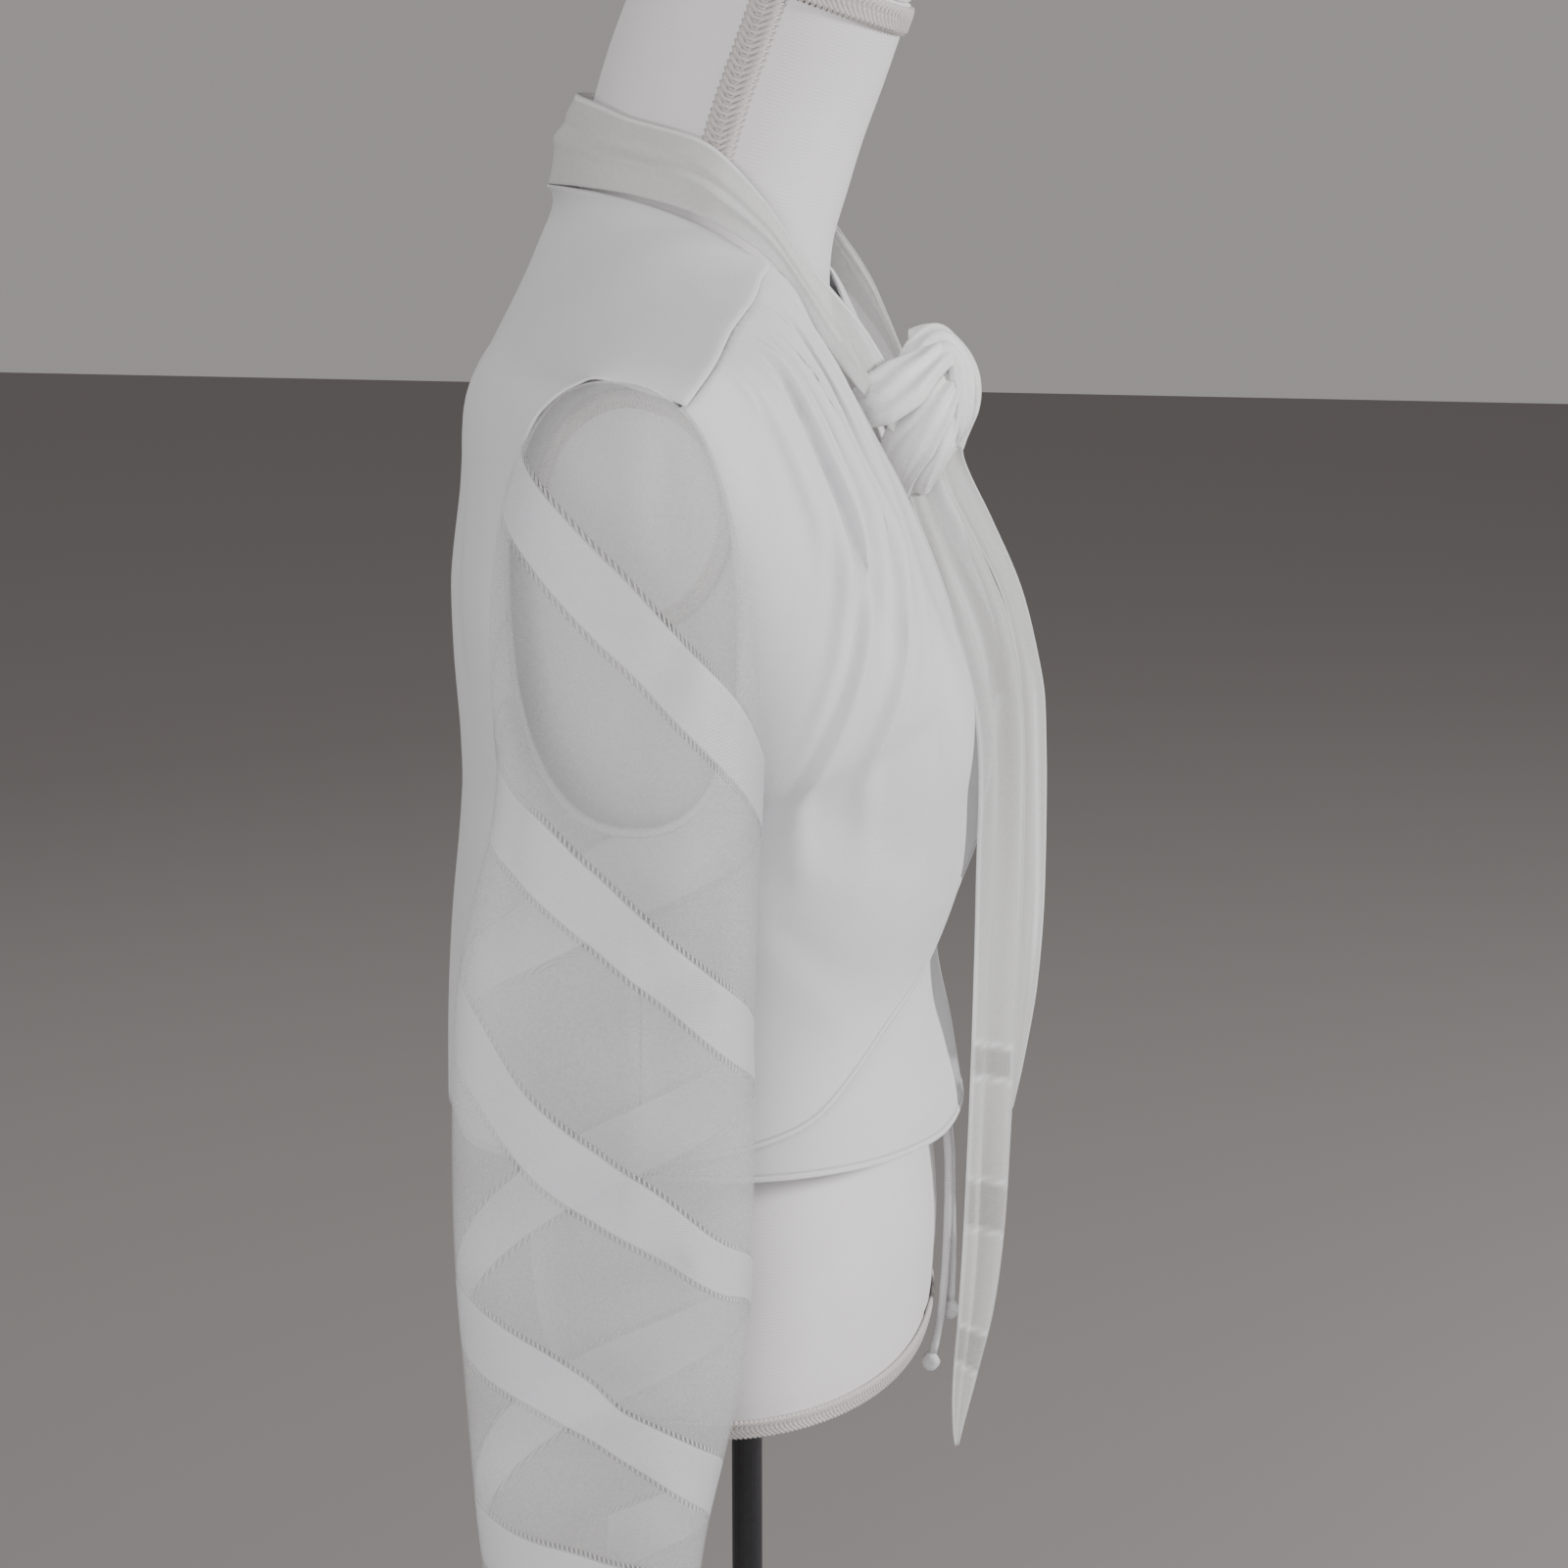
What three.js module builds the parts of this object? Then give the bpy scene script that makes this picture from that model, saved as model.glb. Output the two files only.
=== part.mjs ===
// A tie-neck surplice blouse on a limbless dress form with a pole and a round base.
// Millimetres, +Z up, the front faces -Y and the wearer's right is -X.
// The origin lies under the pole's axis, on the floor.
// In the tables "f" is the distance forward of the pole's axis, and "z" the height above the form's lower edge.

import * as THREE from 'three';

// The stand and the form.
const RIM_HEIGHT = 560;
const BASE_RADIUS = 175;
const BASE_THICKNESS = 14;
const HUB_RADIUS = 21;
const HUB_HEIGHT = 26;
const POLE_RADIUS = 8;
const SOCKET = { topRadius: 30, footRadius: 26, height: 6 };
const FORM_SIDES = 28;
const PLATE = { f: -19, z: 447, halfDepth: 43, halfHeight: 53, thickness: 2.2, lift: 1.1 };
const BRAID = {
  width: 11, thickness: 1.8, lift: 1.1, rimZ: 7, neckTopZ: 677, neckFootZ: 572, neckStep: 14, neckHeadZ: 670,
};
const NECK_BRAID_ANGLE = 1.18;

// The cloth. LAYER_STEP is how far apart the crossed fronts lie.
const BODY_WALL = 1.4;
const SLEEVE_WALL = 1.2;
const BAND_WALL = 0.8;
const BAND_LIFT = 0.9;
const TIE_WALL = 1.2;
const SEAM_GAP = 0.3;
const SHOULDER_SEAM_GAP = 0.8;
const LAYER_STEP = 6.5;
const OVERLAP_HALF_WIDTH = 185;
const CORD_RADIUS = 2.2;
const CORD_KNOT_RADIUS = 4.6;

// The armhole is an oval in a plane that leans out a little from the underarm to the shoulder tip.
const SHOULDER_TIP = { x: 185, z: 507 };
const UNDERARM = { x: 165, z: 305 };
const ARMHOLE = { f: -21, halfDepth: 51, power: 2.4 };
const SHOULDER_SEAM_ARM_Z = 496;

// How far forward the middle of the body lies.
const BODY_MIDDLE_F = -20;

// Sections of the cloth's outer face round the body. The back hangs straight from the shoulder blades.
const CLOTH_SECTIONS = [
  { z: 100, halfWidth: 160, front: 114, back: -147, middle: -20, power: 2.3 },
  { z: 150, halfWidth: 157, front: 106, back: -147, middle: -20, power: 2.3 },
  { z: 200, halfWidth: 152, front: 96, back: -145, middle: -20, power: 2.3 },
  { z: 250, halfWidth: 154, front: 105, back: -140, middle: -20, power: 2.3 },
  { z: 300, halfWidth: 160, front: 106, back: -133, middle: -20, power: 2.3 },
  { z: 350, halfWidth: 170, front: 103, back: -130, middle: -20, power: 2.4 },
  { z: 400, halfWidth: 179, front: 94, back: -129, middle: -20, power: 2.5 },
  { z: 440, halfWidth: 185, front: 83, back: -122, middle: -20, power: 2.5 },
  { z: 475, halfWidth: 188, front: 68, back: -116, middle: -20, power: 2.4 },
  { z: 497, halfWidth: 187, front: 57, back: -111, middle: -20, power: 2.3 },
  { z: 508, halfWidth: 180, front: 51, back: -109, middle: -20, power: 2.2 },
  { z: 521, halfWidth: 146, front: 46, back: -106, middle: -20, power: 2.2 },
  { z: 535, halfWidth: 108, front: 44, back: -103, middle: -20, power: 2.3 },
  { z: 548, halfWidth: 80, front: 43, back: -100, middle: -20, power: 2.4 },
  { z: 562, halfWidth: 72, front: 42, back: -96, middle: -20, power: 2.4 },
  { z: 582, halfWidth: 66, front: 42, back: -91, middle: -20, power: 2.4 },
];
const BUST = { x: 84, z: 345, rise: 24, halfWidth: 50, above: 60, below: 95 };

// Sections of the dress form from its lower edge to the top of the neck, which leans forward.
const FORM_SECTIONS = [
  { z: 0, halfWidth: 143, front: 92, back: -93, middle: -4, tilt: 0, power: 2.2 },
  { z: 25, halfWidth: 148, front: 95, back: -101, middle: -5, tilt: 0, power: 2.2 },
  { z: 70, halfWidth: 147, front: 96, back: -105, middle: -8, tilt: 0, power: 2.2 },
  { z: 120, halfWidth: 137, front: 90, back: -97, middle: -8, tilt: 0, power: 2.2 },
  { z: 170, halfWidth: 123, front: 80, back: -83, middle: -8, tilt: 0, power: 2.2 },
  { z: 210, halfWidth: 117, front: 76, back: -76, middle: -8, tilt: 0, power: 2.2 },
  { z: 255, halfWidth: 124, front: 82, back: -82, middle: -12, tilt: 0, power: 2.2 },
  { z: 300, halfWidth: 137, front: 90, back: -97, middle: -18, tilt: 0, power: 2.2 },
  { z: 350, halfWidth: 149, front: 95, back: -112, middle: -20, tilt: 0, power: 2.3 },
  { z: 400, halfWidth: 158, front: 83, back: -118, middle: -20, tilt: 0, power: 2.5 },
  { z: 440, halfWidth: 162, front: 70, back: -113, middle: -20, tilt: 0, power: 2.7 },
  { z: 475, halfWidth: 163, front: 56, back: -104, middle: -20, tilt: 0, power: 2.6 },
  { z: 497, halfWidth: 163, front: 47, back: -98, middle: -20, tilt: 0, power: 2.3 },
  { z: 508, halfWidth: 155, front: 43, back: -94, middle: -20, tilt: 0, power: 2.1 },
  { z: 520, halfWidth: 133, front: 40, back: -90, middle: -20, tilt: 2, power: 2 },
  { z: 533, halfWidth: 96.5, front: 40, back: -86, middle: -20, tilt: 4, power: 2 },
  { z: 548, halfWidth: 70, front: 41, back: -82, middle: -20, tilt: 7, power: 2 },
  { z: 566, halfWidth: 58, front: 43, back: -78, middle: -18, tilt: 10, power: 2.1 },
  { z: 590, halfWidth: 56, front: 49, back: -74, middle: -12, tilt: 14, power: 2 },
  { z: 620, halfWidth: 55, front: 57, back: -64, middle: -3, tilt: 18, power: 2 },
  { z: 650, halfWidth: 54, front: 67, back: -51, middle: 8, tilt: 21, power: 2 },
  { z: 684, halfWidth: 54, front: 79, back: -37, middle: 21, tilt: 21, power: 2 },
];
const FORM_BUST = { x: 82, z: 345, rise: 17, halfWidth: 46, above: 50, below: 55 };

// Edges of the panels, on the body's outer face. x is towards the panel's own side.
const SIDE_SEAM_TOP_Z = UNDERARM.z;
const SHOULDER_SEAM = [
  { x: 161, z: 508.6 },
  { x: 126, z: 521.4 },
  { x: 93, z: 533.4 },
  { x: 67, z: 547.8 },
];
const NECKLINE_FRONT = [
  { x: 66, z: 538 },
  { x: 62, z: 511 },
  { x: 58, z: 486 },
  { x: 53, z: 462 },
  { x: 45, z: 437 },
  { x: 35, z: 411 },
  { x: 21, z: 385 },
  { x: 0, z: 358 },
  { x: -40, z: 332 },
  { x: -90, z: 314 },
];
const WRAP_END = { upperZ: 300, petalZ: 258 };
const PETAL_HEM = [
  { x: 134, z: 158 },
  { x: 116, z: 172 },
  { x: 89, z: 192 },
  { x: 65, z: 205 },
  { x: 42, z: 217 },
  { x: 0, z: 238 },
  { x: -60, z: 251 },
  { x: -120, z: 257 },
];
const PETAL_HEM_SIDE_Z = 142;
const STRAIGHT_HEM = [
  { x: 130, z: 122 },
  { x: 80, z: 118 },
  { x: 30, z: 117 },
  { x: -30, z: 121 },
  { x: -71, z: 126 },
  { x: -100, z: 129 },
  { x: -130, z: 132 },
];
const STRAIGHT_HEM_SIDE_Z = 128;
const STRAIGHT_HEM_FAR_Z = 135;
const BACK_HEM_Z = 134;
const BACK_NECK = [
  { x: 70, z: 566, behind: false },
  { x: 66, z: 576, behind: true },
  { x: 50, z: 580, behind: true },
  { x: 26, z: 580, behind: true },
];
const BACK_NECK_CENTRE_Z = 580;

// Gathers along the shoulder seam: place from arm (0) to neck (1), height, and how far down they run (0 to 1).
const GATHERS = [
  { place: 0.1, rise: 1.0, run: 0.22 },
  { place: 0.2, rise: 1.6, run: 0.35 },
  { place: 0.3, rise: 2.4, run: 0.62 },
  { place: 0.41, rise: 1.5, run: 0.4 },
  { place: 0.51, rise: 2.8, run: 0.72 },
  { place: 0.61, rise: 1.7, run: 0.45 },
  { place: 0.71, rise: 2.3, run: 0.66 },
  { place: 0.81, rise: 1.3, run: 0.34 },
  { place: 0.91, rise: 1.8, run: 0.5 },
];
const GATHER_WIDTH = 0.034;

// Soft folds of the back: angle from the centre back in degrees, depth, and how far up from the hem they reach.
const BACK_FOLDS = [
  { angle: -62, depth: 5, reach: 190, width: 9 },
  { angle: -30, depth: 4, reach: 240, width: 11 },
  { angle: 8, depth: 4.5, reach: 210, width: 10 },
  { angle: 38, depth: 3.6, reach: 230, width: 12 },
  { angle: 66, depth: 5, reach: 180, width: 9 },
];

// The sleeve: each ring is an oval between a point on its outer line and one on its inner line.
const SLEEVE_RINGS = [
  { outerX: 185, outerZ: 507, innerX: 165, innerZ: 305, f: -21, halfDepth: 51, power: 2.4 },
  { outerX: 199, outerZ: 504, innerX: 169.5, innerZ: 298, f: -18.5, halfDepth: 54.5, power: 2.4 },
  { outerX: 214, outerZ: 494, innerX: 173, innerZ: 288, f: -16, halfDepth: 57.5, power: 2.3 },
  { outerX: 226, outerZ: 474, innerX: 175, innerZ: 276, f: -13.5, halfDepth: 59.5, power: 2.2 },
  { outerX: 233, outerZ: 444, innerX: 176, innerZ: 262, f: -12, halfDepth: 59, power: 2.1 },
  { outerX: 237, outerZ: 406, innerX: 176, innerZ: 246, f: -11.5, halfDepth: 57.5, power: 2.1 },
  { outerX: 239, outerZ: 364, innerX: 176, innerZ: 228, f: -14, halfDepth: 58.5, power: 2.1 },
  { outerX: 240, outerZ: 322, innerX: 176, innerZ: 208, f: -19, halfDepth: 63, power: 2.1 },
  { outerX: 241, outerZ: 280, innerX: 176, innerZ: 186, f: -23, halfDepth: 66, power: 2.1 },
  { outerX: 241, outerZ: 240, innerX: 176, innerZ: 162, f: -24, halfDepth: 67.5, power: 2.1 },
  { outerX: 241, outerZ: 200, innerX: 176, innerZ: 136, f: -25, halfDepth: 68, power: 2.1 },
  { outerX: 241, outerZ: 160, innerX: 176, innerZ: 108, f: -25.5, halfDepth: 68, power: 2.1 },
  { outerX: 240, outerZ: 120, innerX: 176, innerZ: 78, f: -26, halfDepth: 67, power: 2.1 },
  { outerX: 239, outerZ: 80, innerX: 176.5, innerZ: 46, f: -27, halfDepth: 64, power: 2.1 },
  { outerX: 238, outerZ: 40, innerX: 177, innerZ: 14, f: -30, halfDepth: 59, power: 2.1 },
  { outerX: 236, outerZ: 0, innerX: 178, innerZ: -18, f: -33, halfDepth: 54, power: 2.1 },
  { outerX: 234, outerZ: -38, innerX: 180, innerZ: -48, f: -34, halfDepth: 50, power: 2.1 },
  { outerX: 232, outerZ: -77, innerX: 182, innerZ: -77, f: -34.5, halfDepth: 47, power: 2 },
];
const SLEEVE_SIDES = 20;

// Bands start just below the armhole seam, and a stretch of band shorter than the least span is left out.
const BAND_FIRST_PLACE = 0.03;
const BAND_LEAST_SPAN = 0.02;

// Two bands wind down each sleeve. A turn of 0 is at the sleeve's back edge, 0.5 at its front edge.
const SLEEVE_BANDS = {
  a: [
    { turn: 0.02, upperZ: 515, lowerZ: 479 },
    { turn: 0.1, upperZ: 489, lowerZ: 452 },
    { turn: 0.165, upperZ: 467, lowerZ: 429 },
    { turn: 0.25, upperZ: 436, lowerZ: 400 },
    { turn: 0.33, upperZ: 405, lowerZ: 371 },
    { turn: 0.41, upperZ: 380, lowerZ: 346 },
    { turn: 0.5, upperZ: 352, lowerZ: 323 },
    { turn: 0.75, upperZ: 305, lowerZ: 270 },
    { turn: 1, upperZ: 264, lowerZ: 226 },
    { turn: 1.1, upperZ: 240, lowerZ: 202 },
    { turn: 1.2, upperZ: 200, lowerZ: 166 },
    { turn: 1.3, upperZ: 170, lowerZ: 139 },
    { turn: 1.4, upperZ: 139, lowerZ: 115 },
    { turn: 1.5, upperZ: 123, lowerZ: 102 },
    { turn: 1.75, upperZ: 66, lowerZ: 34 },
    { turn: 2, upperZ: 8, lowerZ: -22 },
    { turn: 2.1, upperZ: -4, lowerZ: -34 },
    { turn: 2.3, upperZ: -19, lowerZ: -49 },
    { turn: 2.5, upperZ: -38, lowerZ: -67 },
  ],
  b: [
    { turn: -0.36, upperZ: 424, lowerZ: 386 },
    { turn: -0.25, upperZ: 402, lowerZ: 368 },
    { turn: 0, upperZ: 358, lowerZ: 328 },
    { turn: 0.12, upperZ: 337, lowerZ: 309 },
    { turn: 0.19, upperZ: 326, lowerZ: 294 },
    { turn: 0.25, upperZ: 307, lowerZ: 276 },
    { turn: 0.3, upperZ: 289, lowerZ: 258 },
    { turn: 0.35, upperZ: 271, lowerZ: 241 },
    { turn: 0.42, upperZ: 252, lowerZ: 221 },
    { turn: 0.5, upperZ: 235, lowerZ: 206 },
    { turn: 0.75, upperZ: 175, lowerZ: 142 },
    { turn: 1, upperZ: 114, lowerZ: 82 },
    { turn: 1.1, upperZ: 100, lowerZ: 68 },
    { turn: 1.2, upperZ: 85, lowerZ: 57 },
    { turn: 1.25, upperZ: 74, lowerZ: 48 },
    { turn: 1.3, upperZ: 58, lowerZ: 35 },
    { turn: 1.4, upperZ: 39, lowerZ: 13 },
    { turn: 1.5, upperZ: 24, lowerZ: -4 },
    { turn: 1.75, upperZ: -24, lowerZ: -54 },
  ],
};

// The collar's upper edge from the centre back to the knot, on the wearer's right; the left mirrors it.
const COLLAR = [
  { lowX: 0, lowF: -91.5, lowZ: 580.6, highX: 0, highF: -79, highZ: 622 },
  { lowX: 26, lowF: -88, lowZ: 580.6, highX: 23, highF: -73, highZ: 621 },
  { lowX: 50, lowF: -68, lowZ: 580.6, highX: 44, highF: -54, highZ: 616 },
  { lowX: 65, lowF: -36, lowZ: 577, highX: 58, highF: -29, highZ: 606 },
  { lowX: 71, lowF: -4, lowZ: 568, highX: 63, highF: -3, highZ: 592 },
  { lowX: 66.4, lowF: 24, lowZ: 550, highX: 60, highF: 22, highZ: 569 },
  { lowX: 61.2, lowF: 37.6, lowZ: 531, highX: 55, highF: 38, highZ: 546 },
  { lowX: 55.8, lowF: 50.6, lowZ: 508, highX: 46, highF: 53, highZ: 525 },
  { lowX: 48.8, lowF: 65, lowZ: 488, highX: 34, highF: 67, highZ: 507 },
  { lowX: 37.5, lowF: 72.6, lowZ: 475, highX: 27, highF: 75, highZ: 496 },
  { lowX: 31.4, lowF: 78, lowZ: 467, highX: 22.5, highF: 77.9, highZ: 490 },
];
const COLLAR_COLUMNS = 4;
const COLLAR_BOW = 3.2;
const COLLAR_PLEAT = { depth: 1.1, twist: 0.55 };
const NECK_MIDDLE_F = -10;

const KNOT = {
  x: 2, f: 90, z: 477, halfWidth: 28, halfDepth: 20, halfHeight: 38, lean: 0.12, ridge: 0.07, ridges: 6, twist: 2,
};

// The two hanging tie ends: near edge and far edge of each, from the knot down to the point.
const TIE_TAILS = {
  tie_tail_right: {
    foldWaves: 1.5,
    foldDepth: 2.6,
    rows: [
      { z: 440, nearX: -9, nearF: 80, farX: 13, farF: 93 },
      { z: 410, nearX: -6, nearF: 96, farX: 26, farF: 110 },
      { z: 364, nearX: 2, nearF: 111, farX: 40, farF: 127 },
      { z: 314, nearX: 6, nearF: 117, farX: 48, farF: 134 },
      { z: 237, nearX: 8, nearF: 116, farX: 52, farF: 135 },
      { z: 161, nearX: 10, nearF: 115, farX: 52, farF: 133 },
      { z: 90, nearX: 12, nearF: 113, farX: 50, farF: 131 },
      { z: 40, nearX: 16, nearF: 111, farX: 48, farF: 129 },
      { z: -4, nearX: 19, nearF: 108.5, farX: 45, farF: 124.5 },
      { z: -40, nearX: 23, nearF: 106, farX: 40, farF: 117 },
      { z: -66, nearX: 27, nearF: 106, farX: 35, farF: 111 },
      { z: -78, nearX: 29.5, nearF: 107, farX: 32, farF: 108.5 },
    ],
  },
  tie_tail_left: {
    foldWaves: 1,
    foldDepth: 2,
    rows: [
      { z: 446, nearX: 18.4, nearF: 95.2, farX: 31, farF: 101.6 },
      { z: 415, nearX: 30, nearF: 106, farX: 50, farF: 116 },
      { z: 380, nearX: 46, nearF: 121, farX: 66, farF: 129 },
      { z: 345, nearX: 54, nearF: 129, farX: 78, farF: 137 },
      { z: 314, nearX: 57, nearF: 131.5, farX: 84, farF: 141.5 },
      { z: 220, nearX: 58, nearF: 132, farX: 87, farF: 143 },
      { z: 165, nearX: 57, nearF: 131, farX: 84, farF: 140.5 },
      { z: 124, nearX: 56, nearF: 130, farX: 73, farF: 135 },
      { z: 102, nearX: 57, nearF: 130, farX: 62, farF: 131 },
    ],
  },
};
const TAIL_COLUMNS = 7;

// Two narrow cords hang from inside the front: their routes, from the seam allowance to the knotted end.
const WAIST_CORDS = {
  waist_cord_right: [
    { x: 22, f: 98.2, z: 150 },
    { x: 22.5, f: 98.5, z: 120 },
    { x: 23, f: 101.5, z: 90 },
    { x: 22, f: 102, z: 60 },
    { x: 21, f: 101, z: 25 },
    { x: 20, f: 98.5, z: -5 },
    { x: 19, f: 95.5, z: -20 },
  ],
  waist_cord_left: [
    { x: 36, f: 97.3, z: 150 },
    { x: 37, f: 97.5, z: 120 },
    { x: 38, f: 101, z: 90 },
    { x: 38, f: 102, z: 60 },
    { x: 36, f: 103, z: 30 },
    { x: 33, f: 103, z: 4 },
  ],
};
const CORD_SIDES = 8;
const CORD_STEP = 11;

const COLOURS = {
  cloth: { color: 0xe9e9ec, roughness: 0.72 },
  sheer: { color: 0xdfe1e4, roughness: 0.6 },
  band: { color: 0xeef0f4, roughness: 0.42 },
  cover: { color: 0xe6e3df, roughness: 0.85 },
  braid: { color: 0xcbbfb8, roughness: 0.8 },
  pole: { color: 0x121214, roughness: 0.38 },
};

const part = new THREE.Group();

function add(name, geometry, finish) {
  const material = new THREE.MeshStandardMaterial({ ...COLOURS[finish], metalness: 0 });
  const mesh = new THREE.Mesh(geometry, material);
  mesh.name = name;
  part.add(mesh);
}

// A smooth value of one named column at a place in the table, by Hermite cubics.
function smooth(table, key, place, column) {
  const last = table.length - 1;
  const rising = table[last][key] > table[0][key];
  let i = 0;
  while (i < last - 1 && (rising ? place > table[i + 1][key] : place < table[i + 1][key])) i += 1;
  const slope = (j) => {
    const a = table[Math.max(j - 1, 0)];
    const b = table[Math.min(j + 1, last)];
    return (b[column] - a[column]) / (b[key] - a[key]);
  };
  const from = table[i];
  const to = table[i + 1];
  const span = to[key] - from[key];
  const t = THREE.MathUtils.clamp((place - from[key]) / span, 0, 1);
  const t2 = t * t;
  const t3 = t2 * t;
  return (2 * t3 - 3 * t2 + 1) * from[column] + (t3 - 2 * t2 + t) * span * slope(i)
    + (3 * t2 - 2 * t3) * to[column] + (t3 - t2) * span * slope(i + 1);
}

function signedPower(value, power) {
  return Math.sign(value) * Math.abs(value) ** power;
}

function point(x, f, z) {
  return new THREE.Vector3(x, -f, RIM_HEIGHT + z);
}

// A point of a section: angle 0 is the centre front, 90 degrees the wearer's left side.
function sectionPoint(table, bust, angle, z, scale = 1) {
  const [halfWidth, front, back, middle, power] = ['halfWidth', 'front', 'back', 'middle', 'power']
    .map((column) => smooth(table, 'z', z, column));
  const across = signedPower(Math.sin(angle), 2 / power);
  const along = signedPower(Math.cos(angle), 2 / power);
  const reach = along > 0 ? front - middle : middle - back;
  const x = halfWidth * across;
  const spread = z > bust.z ? bust.above : bust.below;
  const away = ((Math.abs(x) - bust.x) / bust.halfWidth) ** 2 + ((z - bust.z) / spread) ** 2;
  const swell = bust.rise * Math.exp(-away) * THREE.MathUtils.clamp(along * 4, 0, 1);
  const f = middle + reach * along + swell;
  return { x: x * scale, f: middle + (f - middle) * scale, z };
}

function clothPoint(angle, z, scale = 1) {
  return sectionPoint(CLOTH_SECTIONS, BUST, angle, z, scale);
}

function clothNormal(angle, z, scale) {
  const nudge = 0.01;
  const at = (a, height) => {
    const p = clothPoint(a, height, scale);
    return point(p.x, p.f, p.z);
  };
  const round = at(angle + nudge, z).sub(at(angle - nudge, z));
  const up = at(angle, z + 1).sub(at(angle, z - 1));
  return round.cross(up).normalize();
}

// The angle at which the cloth has a given x, in front or behind.
function angleAtX(x, z, behind = false) {
  const halfWidth = smooth(CLOTH_SECTIONS, 'z', z, 'halfWidth');
  const power = smooth(CLOTH_SECTIONS, 'z', z, 'power');
  const angle = Math.asin(signedPower(THREE.MathUtils.clamp(x / halfWidth, -1, 1), power / 2));
  return behind ? Math.sign(x || 1) * Math.PI - angle : angle;
}

// Across the front, a place is an angle low down and a distance from the middle near the shoulders.
const CHART = { low: 330, high: 450, perRadian: 115 };

function chartAngle(across, z) {
  const share = ease(z, CHART.low, CHART.high);
  return (1 - share) * across / CHART.perRadian + share * angleAtX(across, z);
}

function chartPlace({ angle, z, scale }) {
  let low = -200;
  let high = 200;
  for (let i = 0; i < 30; i += 1) {
    const mid = (low + high) / 2;
    if (chartAngle(mid, z) < angle) low = mid;
    else high = mid;
  }
  return { angle: (low + high) / 2, z, scale };
}

// The angle and scale of a point that may lie a little off the cloth's section.
function locate(x, f, z) {
  const [halfWidth, front, back, middle, power] = ['halfWidth', 'front', 'back', 'middle', 'power']
    .map((column) => smooth(CLOTH_SECTIONS, 'z', z, column));
  const reach = f > middle ? front - middle : middle - back;
  const angle = Math.atan2(signedPower(x / halfWidth, power / 2), signedPower((f - middle) / reach, power / 2));
  const on = clothPoint(angle, z);
  return { angle, z, scale: Math.hypot(x, f - middle) / Math.hypot(on.x, on.f - middle) };
}

// A point of the armhole's oval: 0 is the shoulder tip, a quarter turn the front.
function armholePoint(turn) {
  const up = signedPower(Math.cos(turn), 2 / ARMHOLE.power);
  const forward = signedPower(Math.sin(turn), 2 / ARMHOLE.power);
  return {
    x: (SHOULDER_TIP.x + UNDERARM.x) / 2 + (SHOULDER_TIP.x - UNDERARM.x) / 2 * up,
    f: ARMHOLE.f + ARMHOLE.halfDepth * forward,
    z: (SHOULDER_TIP.z + UNDERARM.z) / 2 + (SHOULDER_TIP.z - UNDERARM.z) / 2 * up,
  };
}

const armholeHalfHeight = (SHOULDER_TIP.z - UNDERARM.z) / 2;
const seamRise = (SHOULDER_SEAM_ARM_Z - UNDERARM.z) / armholeHalfHeight - 1;
const SEAM_TURN = Math.acos(seamRise ** (ARMHOLE.power / 2));

// A closed sheet: outer and inner points in matching rows, the columns joined up when it is a tube.
function shell(outer, inner, tube) {
  const rows = outer.length;
  const columns = outer[0].length;
  const positions = [];
  for (const p of [...outer.flat(), ...inner.flat()]) positions.push(p.x, p.y, p.z);
  const at = (layer, r, c) => layer * rows * columns + r * columns + (c % columns);
  const index = [];
  const quad = (a, b, c, d) => index.push(a, b, c, a, c, d);
  const spans = tube ? columns : columns - 1;
  for (let r = 0; r < rows - 1; r += 1) {
    for (let c = 0; c < spans; c += 1) {
      quad(at(0, r, c), at(0, r, c + 1), at(0, r + 1, c + 1), at(0, r + 1, c));
      quad(at(1, r, c + 1), at(1, r, c), at(1, r + 1, c), at(1, r + 1, c + 1));
    }
  }
  for (let c = 0; c < spans; c += 1) {
    quad(at(0, 0, c + 1), at(0, 0, c), at(1, 0, c), at(1, 0, c + 1));
    quad(at(0, rows - 1, c), at(0, rows - 1, c + 1), at(1, rows - 1, c + 1), at(1, rows - 1, c));
  }
  if (!tube) {
    for (let r = 0; r < rows - 1; r += 1) {
      quad(at(0, r, 0), at(0, r + 1, 0), at(1, r + 1, 0), at(1, r, 0));
      quad(at(0, r + 1, columns - 1), at(0, r, columns - 1), at(1, r, columns - 1), at(1, r + 1, columns - 1));
    }
  }
  return faceOut(positions, index);
}

// A solid of stacked rings with a flat fan at each end.
function solidOfRings(rings) {
  const columns = rings[0].length;
  const positions = rings.flat().flatMap((p) => [p.x, p.y, p.z]);
  const index = [];
  for (let r = 0; r < rings.length - 1; r += 1) {
    for (let c = 0; c < columns; c += 1) {
      const next = (c + 1) % columns;
      const a = r * columns + c;
      const b = r * columns + next;
      index.push(a, b, b + columns, a, b + columns, a + columns);
    }
  }
  for (const [start, flip] of [[0, true], [(rings.length - 1) * columns, false]]) {
    const centre = positions.length / 3;
    const mean = rings[start / columns].reduce((sum, p) => sum.add(p), new THREE.Vector3()).divideScalar(columns);
    positions.push(mean.x, mean.y, mean.z);
    for (let c = 0; c < columns; c += 1) {
      const a = start + c;
      const b = start + (c + 1) % columns;
      index.push(...(flip ? [centre, b, a] : [centre, a, b]));
    }
  }
  return faceOut(positions, index);
}

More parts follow.
